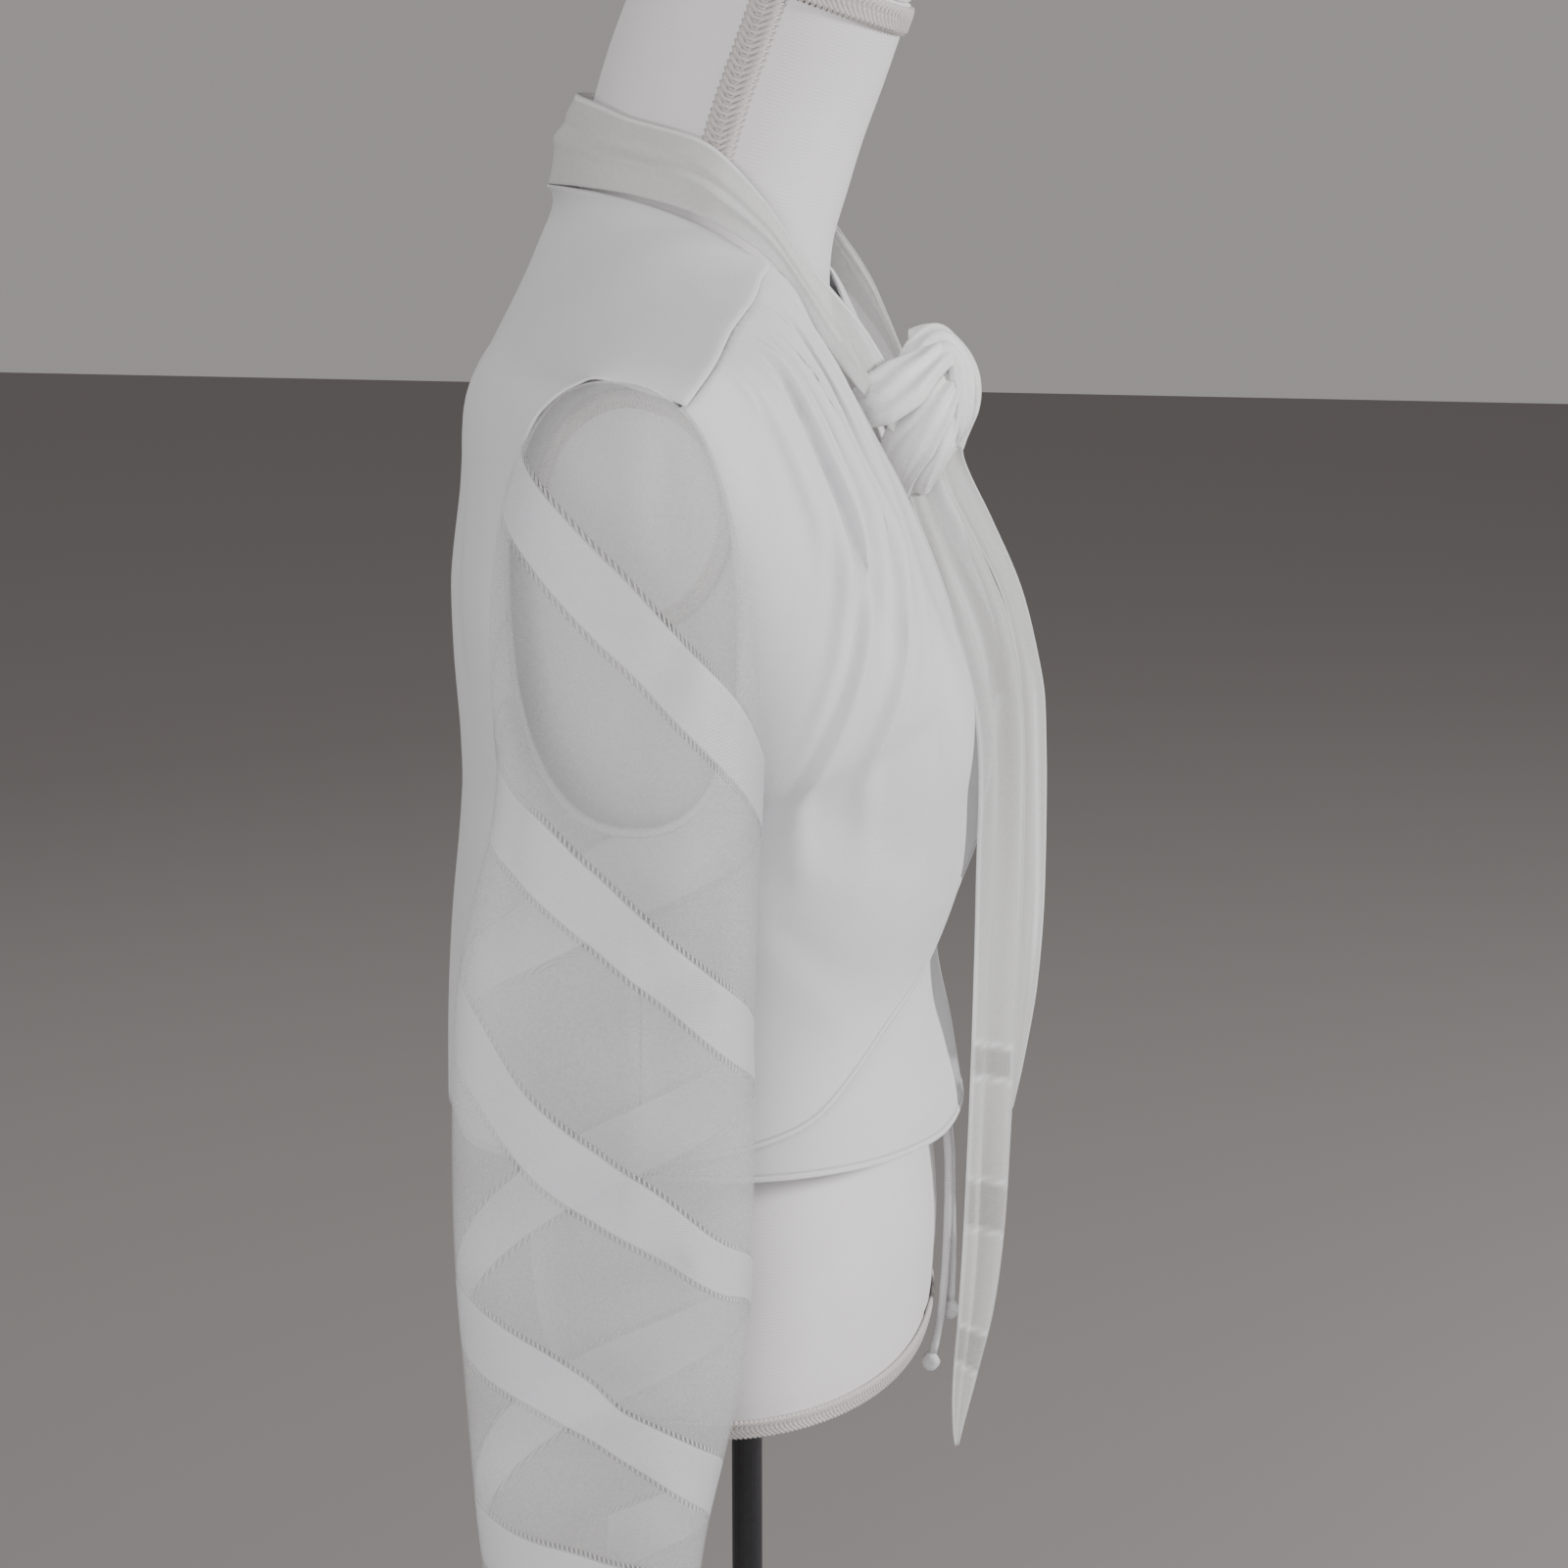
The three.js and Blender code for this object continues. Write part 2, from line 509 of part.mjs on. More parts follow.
// A geometry whose faces are all turned over when its volume comes out negative.
function faceOut(positions, index) {
  let volume = 0;
  const corner = (i) => new THREE.Vector3().fromArray(positions, index[i] * 3);
  for (let i = 0; i < index.length; i += 3) volume += corner(i).dot(corner(i + 1).cross(corner(i + 2)));
  if (volume < 0) {
    for (let i = 0; i < index.length; i += 3) [index[i], index[i + 1]] = [index[i + 1], index[i]];
  }
  const geometry = new THREE.BufferGeometry();
  geometry.setAttribute('position', new THREE.Float32BufferAttribute(positions, 3));
  geometry.setIndex(index);
  geometry.computeVertexNormals();
  return geometry;
}

// Unit normals of a grid of points, all on the side away from the given inner point.
function gridNormals(grid, tube, inside) {
  const rows = grid.length;
  const columns = grid[0].length;
  const normals = grid.map((row, r) => row.map((p, c) => {
    const left = tube ? (c + columns - 1) % columns : Math.max(c - 1, 0);
    const right = tube ? (c + 1) % columns : Math.min(c + 1, columns - 1);
    const across = row[right].clone().sub(row[left]);
    const along = grid[Math.min(r + 1, rows - 1)][c].clone().sub(grid[Math.max(r - 1, 0)][c]);
    return across.cross(along).normalize();
  }));
  let outward = 0;
  grid.forEach((row, r) => row.forEach((p, c) => {
    outward += normals[r][c].dot(p.clone().sub(inside(p)));
  }));
  if (outward < 0) normals.forEach((row) => row.forEach((n) => n.negate()));
  return normals;
}

function moved(grid, normals, distance) {
  return grid.map((row, r) => row.map((p, c) => p.clone().addScaledVector(normals[r][c], distance)));
}

// A point well inside the body, level with the given one. It tells which side of a sheet is the outer one.
const onAxis = (p) => point(0, BODY_MIDDLE_F, p.z - RIM_HEIGHT);

// Panels stop a little short of the side seam's line, each on its own side.
const SIDE_SEAM_ANGLE = Math.PI / 2 - 0.0015;

// The walls' direction along the shoulder seam, the same for both panels, so that their edges stay parallel.
const SEAM_NORMAL = new THREE.Vector3(0.3, -0.5, 0.81).normalize();

// The shoulder seam as a run of straight chords from arm to neck, shared by the panels on both sides of it.
function shoulderSeam(share, side, shift) {
  const arm = armholePoint(SEAM_TURN);
  const line = [arm, ...SHOULDER_SEAM.map(({ x, z }) => clothPoint(angleAtX(x, z), z))];
  const curve = new THREE.CatmullRomCurve3(line.map((p) => new THREE.Vector3(p.x, p.f, p.z)), false, 'centripetal');
  const knots = curve.getSpacedPoints(BACK_SEAM_COLUMNS);
  const along = share * BACK_SEAM_COLUMNS;
  const i = Math.min(Math.floor(along), BACK_SEAM_COLUMNS - 1);
  const p = knots[i].clone().lerp(knots[i + 1], along - i);
  return new THREE.Vector3(side * p.x, p.y + shift, p.z);
}

// Evenly spaced samples of a smooth curve through edge points, each placed across the chart, up it and by scale.
const SCALE_WEIGHT = 150;

function edgeCurve(points) {
  const curve = new THREE.CatmullRomCurve3(points.map(chartPlace).map((p) => (
    new THREE.Vector3(p.angle, p.z, p.scale * SCALE_WEIGHT))), false, 'centripetal');
  return (t) => {
    const p = curve.getPointAt(THREE.MathUtils.clamp(t, 0, 1));
    return { across: p.x, z: p.y, scale: p.z / SCALE_WEIGHT };
  };
}

// A place between the hem and the top edge of a panel, drawn in along the arm's side by that side's bend,
// less and less with the distance from it.
function patch(foot, head, side, s, t) {
  const mix = (column) => {
    const bend = side(t)[column] - THREE.MathUtils.lerp(side(0)[column], side(1)[column], t);
    return THREE.MathUtils.lerp(foot[column], head[column], t) + (1 - s) ** 1.6 * bend;
  };
  return { across: mix('across'), z: mix('z'), scale: mix('scale') };
}

// The point of an edge curve that lies at a given place across, by halving.
function edgeAt(curve, across) {
  let low = 0;
  let high = 1;
  for (let i = 0; i < 20; i += 1) {
    const mid = (low + high) / 2;
    if (curve(mid).across < across) low = mid;
    else high = mid;
  }
  return curve((low + high) / 2);
}

// Places on a smooth step from 0 to 1 between two values.
function ease(value, from, to) {
  return THREE.MathUtils.smoothstep(value, from, to);
}

// A front panel, drawn for the wearer's right (own side towards -X) and mirrored for the left.
// Its columns run up from the hem to the gathered shoulder seam, then on to the crossing neckline.
function frontPanel(mirror, hem, ownHemZ, farHemZ, layerOffset, gatherFoot) {
  const shoulderColumns = 26;
  const necklineColumns = 18;
  const columns = shoulderColumns + necklineColumns;
  const rows = 11;
  const seamAngle = -SIDE_SEAM_ANGLE;
  const farAngle = SIDE_SEAM_ANGLE;
  const onCloth = ({ x, z }) => ({ angle: angleAtX(-x, z), z, scale: 1 });
  const seamPoint = armholePoint(SEAM_TURN);
  const armEnd = locate(-seamPoint.x, seamPoint.f + 0.6, seamPoint.z);
  const neckEnd = onCloth(SHOULDER_SEAM[SHOULDER_SEAM.length - 1]);
  const hemCurve = edgeCurve([
    { angle: seamAngle, z: ownHemZ, scale: 1 }, ...hem.map(onCloth), { angle: farAngle, z: farHemZ, scale: 1 }]);
  const shoulder = edgeCurve([armEnd, ...SHOULDER_SEAM.map(onCloth)]);
  const neckline = edgeCurve([
    neckEnd, ...NECKLINE_FRONT.map(onCloth), { angle: farAngle, z: WRAP_END.upperZ, scale: 1 }]);
  const share = shoulderColumns / columns;
  const top = (s) => (s <= share ? shoulder(s / share) : neckline((s - share) / (1 - share)));
  const armholeTurns = 9;
  const sidePoints = [];
  for (let i = 0; i < 5; i += 1) {
    sidePoints.push({ angle: seamAngle, z: ownHemZ + (SIDE_SEAM_TOP_Z - 6 - ownHemZ) * i / 4, scale: 1 });
  }
  for (let i = 1; i <= armholeTurns; i += 1) {
    const turn = Math.PI + (SEAM_TURN - Math.PI) * i / armholeTurns;
    const p = armholePoint(turn);
    sidePoints.push(i < armholeTurns ? locate(-p.x, p.f, p.z) : armEnd);
  }
  const start = edgeCurve(sidePoints);
  const heads = [];
  const feet = [];
  for (let c = 0; c <= columns; c += 1) {
    const s = c / columns;
    const head = top(s);
    const across = s < share ? THREE.MathUtils.lerp(hemCurve(0).across, top(share).across, s / share) : head.across;
    heads.push(head);
    feet.push(edgeAt(hemCurve, across));
  }
  const grid = [];
  for (let r = 0; r <= rows; r += 1) {
    const t = r / rows;
    const row = [];
    for (let c = 0; c <= columns; c += 1) {
      const s = c / columns;
      const q = patch(feet[c], heads[c], start, s, t);
      const angle = Math.max(chartAngle(q.across, q.z), seamAngle);
      const normal = clothNormal(angle, q.z, q.scale);
      let p = clothPoint(angle, q.z, q.scale);
      if (r === rows && s <= share) {
        const seam = shoulderSeam(s / share, -1, SHOULDER_SEAM_GAP / 2);
        p = { x: seam.x, f: seam.y, z: seam.z };
      }
      row.push({ ...p, s, t, normal });
    }
    grid.push(row);
  }
  const smoothGrid = grid.map((row) => row.map((p) => point(p.x, p.f, p.z)));
  const normals = grid.map((row) => row.map((q) => q.normal));
  grid.forEach((row, r) => row.forEach((q, c) => {
    const atSide = c === columns || (c === 0 && q.z < SIDE_SEAM_TOP_Z - 3);
    if (atSide) normals[r][c].set(Math.sign(q.x), 0, 0);
    else if (r === rows && q.s <= share) normals[r][c].copy(SEAM_NORMAL).setX(-SEAM_NORMAL.x);
  }));
  const outer = smoothGrid.map((row, r) => row.map((p, c) => {
    const { x, z, s, t } = grid[r][c];
    const place = s / share;
    let rise = 0;
    for (const gather of GATHERS) {
      const width = GATHER_WIDTH * (1 + 0.9 * (1 - t));
      const strength = ease(t, 1 - gather.run, 1 - gather.run * 0.45) * (1 - 0.55 * ease(t, 0.95, 1));
      rise += gather.rise * strength * Math.exp(-(((place - gather.place) / width) ** 2));
    }
    rise *= ease(z, gatherFoot, gatherFoot + 40);
    return p.clone().addScaledVector(normals[r][c], layerOffset(x) + rise);
  }));
  const inner = moved(outer, normals, -BODY_WALL);
  const flip = (p) => p.setX(p.x * -mirror);
  outer.forEach((row) => row.forEach(flip));
  inner.forEach((row) => row.forEach(flip));
  return shell(outer, inner, false);
}

// The back panel runs from the hem up over the shoulders' ridge to the seams, which lie forward of it.
// Its rows are level up to the shoulder blades, then follow the guides below to the seams and the neck.
// Each guide goes from the arm to the neck corner and on to the centre back.
const BACK_HEIGHTS = [BACK_HEM_Z, 182, 230, 280, 325, 370, 412, 452, 484];
const BACK_SEAM_COLUMNS = 8;
const BACK_NECK_COLUMNS = 6;
const BACK_NECK_SHARE = 0.45;
const BACK_DEPTH = 130;
const BACK_GUIDES = [
  {
    armTurn: -0.5,
    seam: [{ x: 150, z: 505, behind: true }, { x: 100, z: 521, behind: true }],
    neck: [{ x: 72, z: 537, behind: true }, { x: 40, z: 547, behind: true }, { x: 0, z: 549, behind: true }],
  },
  {
    armTurn: -0.24,
    seam: [{ x: 156, z: 506.5, behind: true }, { x: 115, z: 521, behind: true }, { x: 87, z: 533, behind: true }],
    neck: [{ x: 74, z: 549, behind: true }, { x: 44, z: 558, behind: true }, { x: 0, z: 559, behind: true }],
  },
  {
    armTurn: -0.04,
    seam: [{ x: 161, ridge: true }, { x: 126, ridge: true }, { x: 86, ridge: true }],
    neck: [{ x: 75, z: 561, behind: true }, { x: 46, z: 567, behind: true }, { x: 0, z: 567, behind: true }],
  },
  {
    neck: [...BACK_NECK, { x: 0, z: BACK_NECK_CENTRE_Z, behind: true }],
  },
];

// The height of the shoulders' ridge at a distance from the middle.
const RIDGE_FOOT_Z = 497;

function ridgeZ(x) {
  let low = RIDGE_FOOT_Z;
  let high = CLOTH_SECTIONS.at(-1).z;
  for (let i = 0; i < 24; i += 1) {
    const mid = (low + high) / 2;
    if (smooth(CLOTH_SECTIONS, 'z', mid, 'halfWidth') > x) low = mid;
    else high = mid;
  }
  return low;
}

function backPanel() {
  const halfColumns = BACK_SEAM_COLUMNS + BACK_NECK_COLUMNS;
  const sideAngle = SIDE_SEAM_ANGLE;
  const backAngle = (angle) => angle - Math.PI;
  const vector = (p) => new THREE.Vector3(p.x, p.f, p.z);
  const rows = BACK_HEIGHTS.map((z) => {
    let edge = { angle: sideAngle, scale: 1 };
    if (z > SIDE_SEAM_TOP_Z) {
      const up = (z - UNDERARM.z) / armholeHalfHeight - 1;
      const turn = -Math.acos(signedPower(up, ARMHOLE.power / 2));
      const p = armholePoint(turn);
      const on = locate(p.x, p.f, p.z);
      edge = { angle: Math.PI - on.angle, scale: on.scale };
    }
    const edgeX = clothPoint(Math.PI - edge.angle, z).x;
    const row = [];
    for (let c = 0; c <= halfColumns; c += 1) {
      const even = 1 - c / halfColumns;
      const share = c <= BACK_SEAM_COLUMNS ? 1 - (1 - BACK_NECK_SHARE) * c / BACK_SEAM_COLUMNS
        : BACK_NECK_SHARE * (1 - (c - BACK_SEAM_COLUMNS) / BACK_NECK_COLUMNS);
      const byX = -backAngle(angleAtX(edgeX * share, z, true));
      const blend = ease(z, 250, 480);
      const angle = (1 - blend) * edge.angle * even + blend * (c === 0 ? edge.angle : byX);
      row.push({ angle, z, scale: 1 + (edge.scale - 1) * even ** 5 });
    }
    return row;
  });
  const side = (sign) => {
    const grid = rows.map((row) => row.map(({ angle, z, scale }) => {
      let pressed = scale;
      for (const fold of BACK_FOLDS) {
        const away = (sign * THREE.MathUtils.radToDeg(angle) - fold.angle) / fold.width;
        const strength = 1 - ease(z, BACK_HEM_Z, BACK_HEM_Z + fold.reach);
        pressed -= fold.depth / BACK_DEPTH * strength * Math.exp(-away * away);
      }
      const p = clothPoint(Math.PI - angle, z, pressed);
      return vector({ ...p, x: sign * p.x });
    }));
    for (const guide of BACK_GUIDES) {
      const on = ({ x, z, behind, ridge }) => {
        const height = ridge ? ridgeZ(x) : z;
        const p = ridge ? { x, f: BODY_MIDDLE_F, z: height } : clothPoint(angleAtX(x, height, behind), height);
        return new THREE.Vector3(sign * x, p.f, p.z);
      };
      let seam = Array.from({ length: BACK_SEAM_COLUMNS + 1 }, (_, i) => (
        shoulderSeam(i / BACK_SEAM_COLUMNS, sign, -SHOULDER_SEAM_GAP / 2)));
      if (guide.seam) {
        const arm = armholePoint(guide.armTurn);
        const line = [new THREE.Vector3(sign * arm.x, arm.f, arm.z), ...guide.seam.map(on)];
        seam = new THREE.CatmullRomCurve3(line, false, 'centripetal').getSpacedPoints(BACK_SEAM_COLUMNS);
      }
      const neck = new THREE.CatmullRomCurve3([seam.at(-1), ...guide.neck.map(on)], false, 'centripetal');
      grid.push([...seam, ...neck.getSpacedPoints(BACK_NECK_COLUMNS).slice(1)]);
    }
    return grid;
  };
  const right = side(-1);
  const left = side(1);
  const outer = right.map((row, r) => [...row, ...left[r].slice(0, -1).reverse()]
    .map((p) => point(p.x, p.y, p.z)));
  const normals = gridNormals(outer, false, onAxis);
  const lastRow = normals.length - 1;
  const lastColumn = normals[0].length - 1;
  normals.forEach((row, r) => row.forEach((n, c) => {
    const side = c <= halfColumns ? -1 : 1;
    const fromArm = Math.min(c, lastColumn - c);
    if (fromArm === 0 && BACK_HEIGHTS[r] < SIDE_SEAM_TOP_Z) n.set(side, 0, 0);
    else if (r === lastRow && fromArm <= BACK_SEAM_COLUMNS) n.copy(SEAM_NORMAL).setX(side * SEAM_NORMAL.x);
  }));
  return shell(outer, moved(outer, normals, -BODY_WALL), false);
}

// A ring of the sleeve at a place from 0, the armhole, to 1, the wrist. Angle 0 is its outer line.
function sleevePoint(place, angle, side) {
  const rings = SLEEVE_RINGS.map((ring, i) => ({ ...ring, place: i / (SLEEVE_RINGS.length - 1) }));
  const at = (column) => smooth(rings, 'place', place, column);
  const across = signedPower(Math.cos(angle), 2 / at('power'));
  const forward = signedPower(Math.sin(angle), 2 / at('power'));
  const mid = { x: (at('outerX') + at('innerX')) / 2, z: (at('outerZ') + at('innerZ')) / 2 };
  const half = { x: (at('outerX') - at('innerX')) / 2, z: (at('outerZ') - at('innerZ')) / 2 };
  return point(side * (mid.x + half.x * across), at('f') + at('halfDepth') * forward, mid.z + half.z * across);
}

function sleeveGrid(side) {
  const grid = [];
  const last = SLEEVE_RINGS.length - 1;
  for (let r = 0; r <= last; r += 1) {
    const row = [];
    for (let c = 0; c < SLEEVE_SIDES; c += 1) row.push(sleevePoint(r / last, 2 * Math.PI * c / SLEEVE_SIDES, side));
    grid.push(row);
  }
  return grid;
}

function sleeve(side) {
  const outer = sleeveGrid(side);
  const lift = new THREE.Vector3(side * armholeHalfHeight * 2, 0, SHOULDER_TIP.x - UNDERARM.x).normalize();
  outer[0].forEach((p) => p.addScaledVector(lift, SEAM_GAP));
  const inner = outer.map((row) => {
    const centre = row.reduce((sum, p) => sum.add(p), new THREE.Vector3()).divideScalar(row.length);
    const normals = row.map((p, c) => {
      const along = row[(c + 1) % row.length].clone().sub(row[(c + row.length - 1) % row.length]);
      const plane = row[0].clone().sub(centre).cross(row[Math.round(row.length / 4)].clone().sub(centre));
      const n = along.cross(plane).normalize();
      return n.dot(p.clone().sub(centre)) > 0 ? n : n.negate();
    });
    return row.map((p, c) => p.clone().addScaledVector(normals[c], -SLEEVE_WALL));
  });
  return shell(outer, inner, true);
}

// The place down the sleeve where its surface has a given height, by halving.
function placeAtHeight(angle, z, side) {
  let low = 0;
  let high = 1;
  for (let i = 0; i < 24; i += 1) {
    const mid = (low + high) / 2;
    if (sleevePoint(mid, angle, side).z > RIM_HEIGHT + z) low = mid;
    else high = mid;
  }
  return (low + high) / 2;
}

function sleeveBand(rows, side) {
  const step = 1 / SLEEVE_SIDES;
  const from = Math.ceil(rows[0].turn / step) * step;
  const outer = [];
  const inner = [];
  for (let turn = from; turn <= rows.at(-1).turn; turn += step) {
    const angle = (turn - 0.25) * 2 * Math.PI;
    const places = ['upperZ', 'lowerZ'].map((column) => (
      Math.max(BAND_FIRST_PLACE, placeAtHeight(angle, smooth(rows, 'turn', turn, column), side))));
    if (places[1] - places[0] < BAND_LEAST_SPAN) continue;
    const line = [0, 0.5, 1].map((share) => {
      const place = places[0] + (places[1] - places[0]) * share;
      const nudge = 0.004;
      const p = sleevePoint(place, angle, side);
      const round = sleevePoint(place, angle + nudge, side).sub(sleevePoint(place, angle - nudge, side));
      const down = sleevePoint(place + nudge, angle, side).sub(sleevePoint(place - nudge, angle, side));
      const n = round.cross(down).normalize();
      const centre = sleevePoint(place, angle + Math.PI, side).add(p).multiplyScalar(0.5);
      if (n.dot(p.clone().sub(centre)) < 0) n.negate();
      return { p, n };
    });
    outer.push(line.map(({ p, n }) => p.clone().addScaledVector(n, BAND_LIFT + BAND_WALL)));
    inner.push(line.map(({ p, n }) => p.clone().addScaledVector(n, BAND_LIFT)));
  }
  return shell(outer, inner, false);
}

// The doubled collar band: from its seam on the neckline to its folded top edge, bowed out a little between.
function collar() {
  const stations = [...COLLAR.slice(1).reverse().map((row) => ({ ...row, side: -1 })),
    ...COLLAR.map((row) => ({ ...row, side: 1 }))];
  const path = (prefix) => new THREE.CatmullRomCurve3(stations.map((row) => (
    point(row.side * row[`${prefix}X`], row[`${prefix}F`], row[`${prefix}Z`]))), false, 'centripetal');
  const low = path('low');
  const high = path('high');
  const rows = 32;
  const inNeck = (p) => point(0, NECK_MIDDLE_F, p.z - RIM_HEIGHT);
  const grid = [];
  for (let r = 0; r <= rows; r += 1) {
    const a = low.getPoint(r / rows);
    const b = high.getPoint(r / rows);
    const row = [];
    for (let c = 0; c <= COLLAR_COLUMNS; c += 1) {
      const share = c / COLLAR_COLUMNS;
      const p = a.clone().lerp(b, share);
      const out = p.clone().sub(inNeck(p)).normalize();
      const towardsKnot = Math.abs(2 * r / rows - 1);
      const bow = COLLAR_BOW * (1 - 0.75 * towardsKnot) * Math.sin(Math.PI * share) ** 1.6
        + COLLAR_PLEAT.depth * Math.sin(3 * Math.PI * share) * Math.sin(r * COLLAR_PLEAT.twist);
      row.push(p.addScaledVector(out, bow));
    }
    grid.push(row);
  }
  const normals = gridNormals(grid, false, inNeck);
  return shell(grid, moved(grid, normals, -TIE_WALL), false);
}

// The knot: a leaning egg with slanted ridges where the band wraps round.
function knot() {
  const rings = [];
  const rows = 11;
  const sides = 20;
  for (let r = 1; r < rows; r += 1) {
    const polar = Math.PI * r / rows;
    const ring = [];
    for (let c = 0; c < sides; c += 1) {
      const angle = 2 * Math.PI * c / sides;
      const up = Math.cos(polar);
      const ridge = 1 + KNOT.ridge * Math.sin(KNOT.ridges * polar + KNOT.twist * angle) * Math.sin(polar);
      const wide = Math.sin(polar) ** 0.85 * ridge;
      ring.push(point(
        KNOT.x + KNOT.halfWidth * wide * Math.cos(angle) - up * KNOT.halfHeight * KNOT.lean,
        KNOT.f + KNOT.halfDepth * wide * Math.sin(angle) + up * KNOT.halfHeight * KNOT.lean,
        KNOT.z + KNOT.halfHeight * up));
    }
    rings.push(ring);
  }
  return solidOfRings(rings);
}

// A hanging tie end: a ribbon between two edges, with soft lengthwise folds that fade to the point.
function tail({ rows, foldWaves, foldDepth }) {
  const grid = [];
  const steps = 16;
  const top = rows[0].z;
  const foot = rows.at(-1).z;
  for (let r = 0; r <= steps; r += 1) {
    const z = top + (foot - top) * r / steps;
    const [nearX, nearF, farX, farF] = ['nearX', 'nearF', 'farX', 'farF']
      .map((column) => smooth(rows, 'z', z, column));
    const across = new THREE.Vector2(farX - nearX, farF - nearF);
    const depth = foldDepth * THREE.MathUtils.clamp(across.length() / 40, 0.1, 1);
    const row = [];
    for (let c = 0; c <= TAIL_COLUMNS; c += 1) {
      const share = c / TAIL_COLUMNS;
      const fold = depth * Math.sin(2 * Math.PI * foldWaves * share) * Math.sin(Math.PI * share) ** 0.5;
      const unit = across.clone().normalize();
      row.push(point(nearX + across.x * share - unit.y * fold, nearF + across.y * share + unit.x * fold, z));
    }
    grid.push(row);
  }
  const normals = gridNormals(grid, false, (p) => new THREE.Vector3(p.x, 0, p.z));
  return shell(moved(grid, normals, TIE_WALL / 2), moved(grid, normals, -TIE_WALL / 2), false);
}

function cordSolids(name, route) {
  const curve = new THREE.CatmullRomCurve3(route.map(({ x, f, z }) => point(x, f, z)));
  const outline = new THREE.Shape();
  for (let i = 0; i < CORD_SIDES; i += 1) {
    const angle = 2 * Math.PI * i / CORD_SIDES;
    const [x, y] = [CORD_RADIUS * Math.cos(angle), CORD_RADIUS * Math.sin(angle)];
    if (i === 0) outline.moveTo(x, y);
    else outline.lineTo(x, y);
  }
  outline.closePath();
  const steps = Math.round(curve.getLength() / CORD_STEP);
  add(name, new THREE.ExtrudeGeometry(outline, { extrudePath: curve, steps, bevelEnabled: false }), 'cloth');
  const end = curve.getPoint(1);
  const way = curve.getTangent(1);
  const ball = new THREE.SphereGeometry(CORD_KNOT_RADIUS, 12, 8);
  ball.scale(0.86, 1, 1.15);
  const centre = end.addScaledVector(way, CORD_KNOT_RADIUS * 1.12 + SEAM_GAP);
  ball.translate(centre.x, centre.y, centre.z);
  add(`${name}_knot`, ball, 'cloth');
}

// A point of the dress form, with its section tipped forward by its tilt.
function formPoint(angle, z, lift = 0) {
  const p = sectionPoint(FORM_SECTIONS, FORM_BUST, angle, z);
  const middle = smooth(FORM_SECTIONS, 'z', z, 'middle');
  const halfWidth = smooth(FORM_SECTIONS, 'z', z, 'halfWidth');
  const grow = 1 + lift / halfWidth;
  const slope = Math.tan(THREE.MathUtils.degToRad(smooth(FORM_SECTIONS, 'z', z, 'tilt')));
  const f = middle + (p.f - middle) * grow;
  return point(p.x * grow, f, z - (f - middle) * slope);
}

function formTorso() {
  const rings = [];
  const heights = [];
  FORM_SECTIONS.forEach((row, i) => {
    heights.push(row.z);
    const next = FORM_SECTIONS[i + 1];
    if (next && next.z - row.z > 42) heights.push((row.z + next.z) / 2);
  });
  for (const z of heights) {
    const ring = [];
    for (let c = 0; c < FORM_SIDES; c += 1) ring.push(formPoint(2 * Math.PI * c / FORM_SIDES, z));
    rings.push(ring);
  }
  return solidOfRings(rings);
}

// The plain cap on the neck: a low dome standing on the tilted top.
function neckCap() {
  const z = FORM_SECTIONS.at(-1).z;
  const edge = [];
  for (let c = 0; c < FORM_SIDES; c += 1) edge.push(formPoint(2 * Math.PI * c / FORM_SIDES, z));
  const centre = edge.reduce((sum, p) => sum.add(p), new THREE.Vector3()).divideScalar(FORM_SIDES);
  const tilt = THREE.MathUtils.degToRad(FORM_SECTIONS.at(-1).tilt);
  const up = new THREE.Vector3(0, -Math.sin(tilt), Math.cos(tilt));
  const steps = [
    { share: 0.97, rise: SEAM_GAP },
    { share: 0.99, rise: 2.4 },
    { share: 0.97, rise: 5 },
    { share: 0.86, rise: 8 },
    { share: 0.6, rise: 11 },
    { share: 0.25, rise: 12.6 },
  ];
  return solidOfRings(steps.map(({ share, rise }) => (
    edge.map((p) => centre.clone().lerp(p, share).addScaledVector(up, rise)))));
}

// The form's side, for pieces that lie on it: its x at a place given by f and z.
function formSideX(f, z) {
  const [halfWidth, front, back, middle, power] = ['halfWidth', 'front', 'back', 'middle', 'power']
    .map((column) => smooth(FORM_SECTIONS, 'z', z, column));
  const reach = f > middle ? front - middle : middle - back;
  return halfWidth * (1 - Math.abs((f - middle) / reach) ** power) ** (1 / power);
}

function armPlate(side) {
  const sides = 20;
  const build = (lift) => [0.35, 0.75, 1].map((share) => {
    const ring = [];
    for (let c = 0; c < sides; c += 1) {
      const angle = 2 * Math.PI * c / sides;
      const f = PLATE.f + PLATE.halfDepth * share * Math.cos(angle);
      const z = PLATE.z + PLATE.halfHeight * share * Math.sin(angle);
      ring.push(point(side * (formSideX(f, z) + lift), f, z));
    }
    return ring;
  });
  return solidOfRings([...build(PLATE.lift + PLATE.thickness), ...build(PLATE.lift).reverse()]);
}

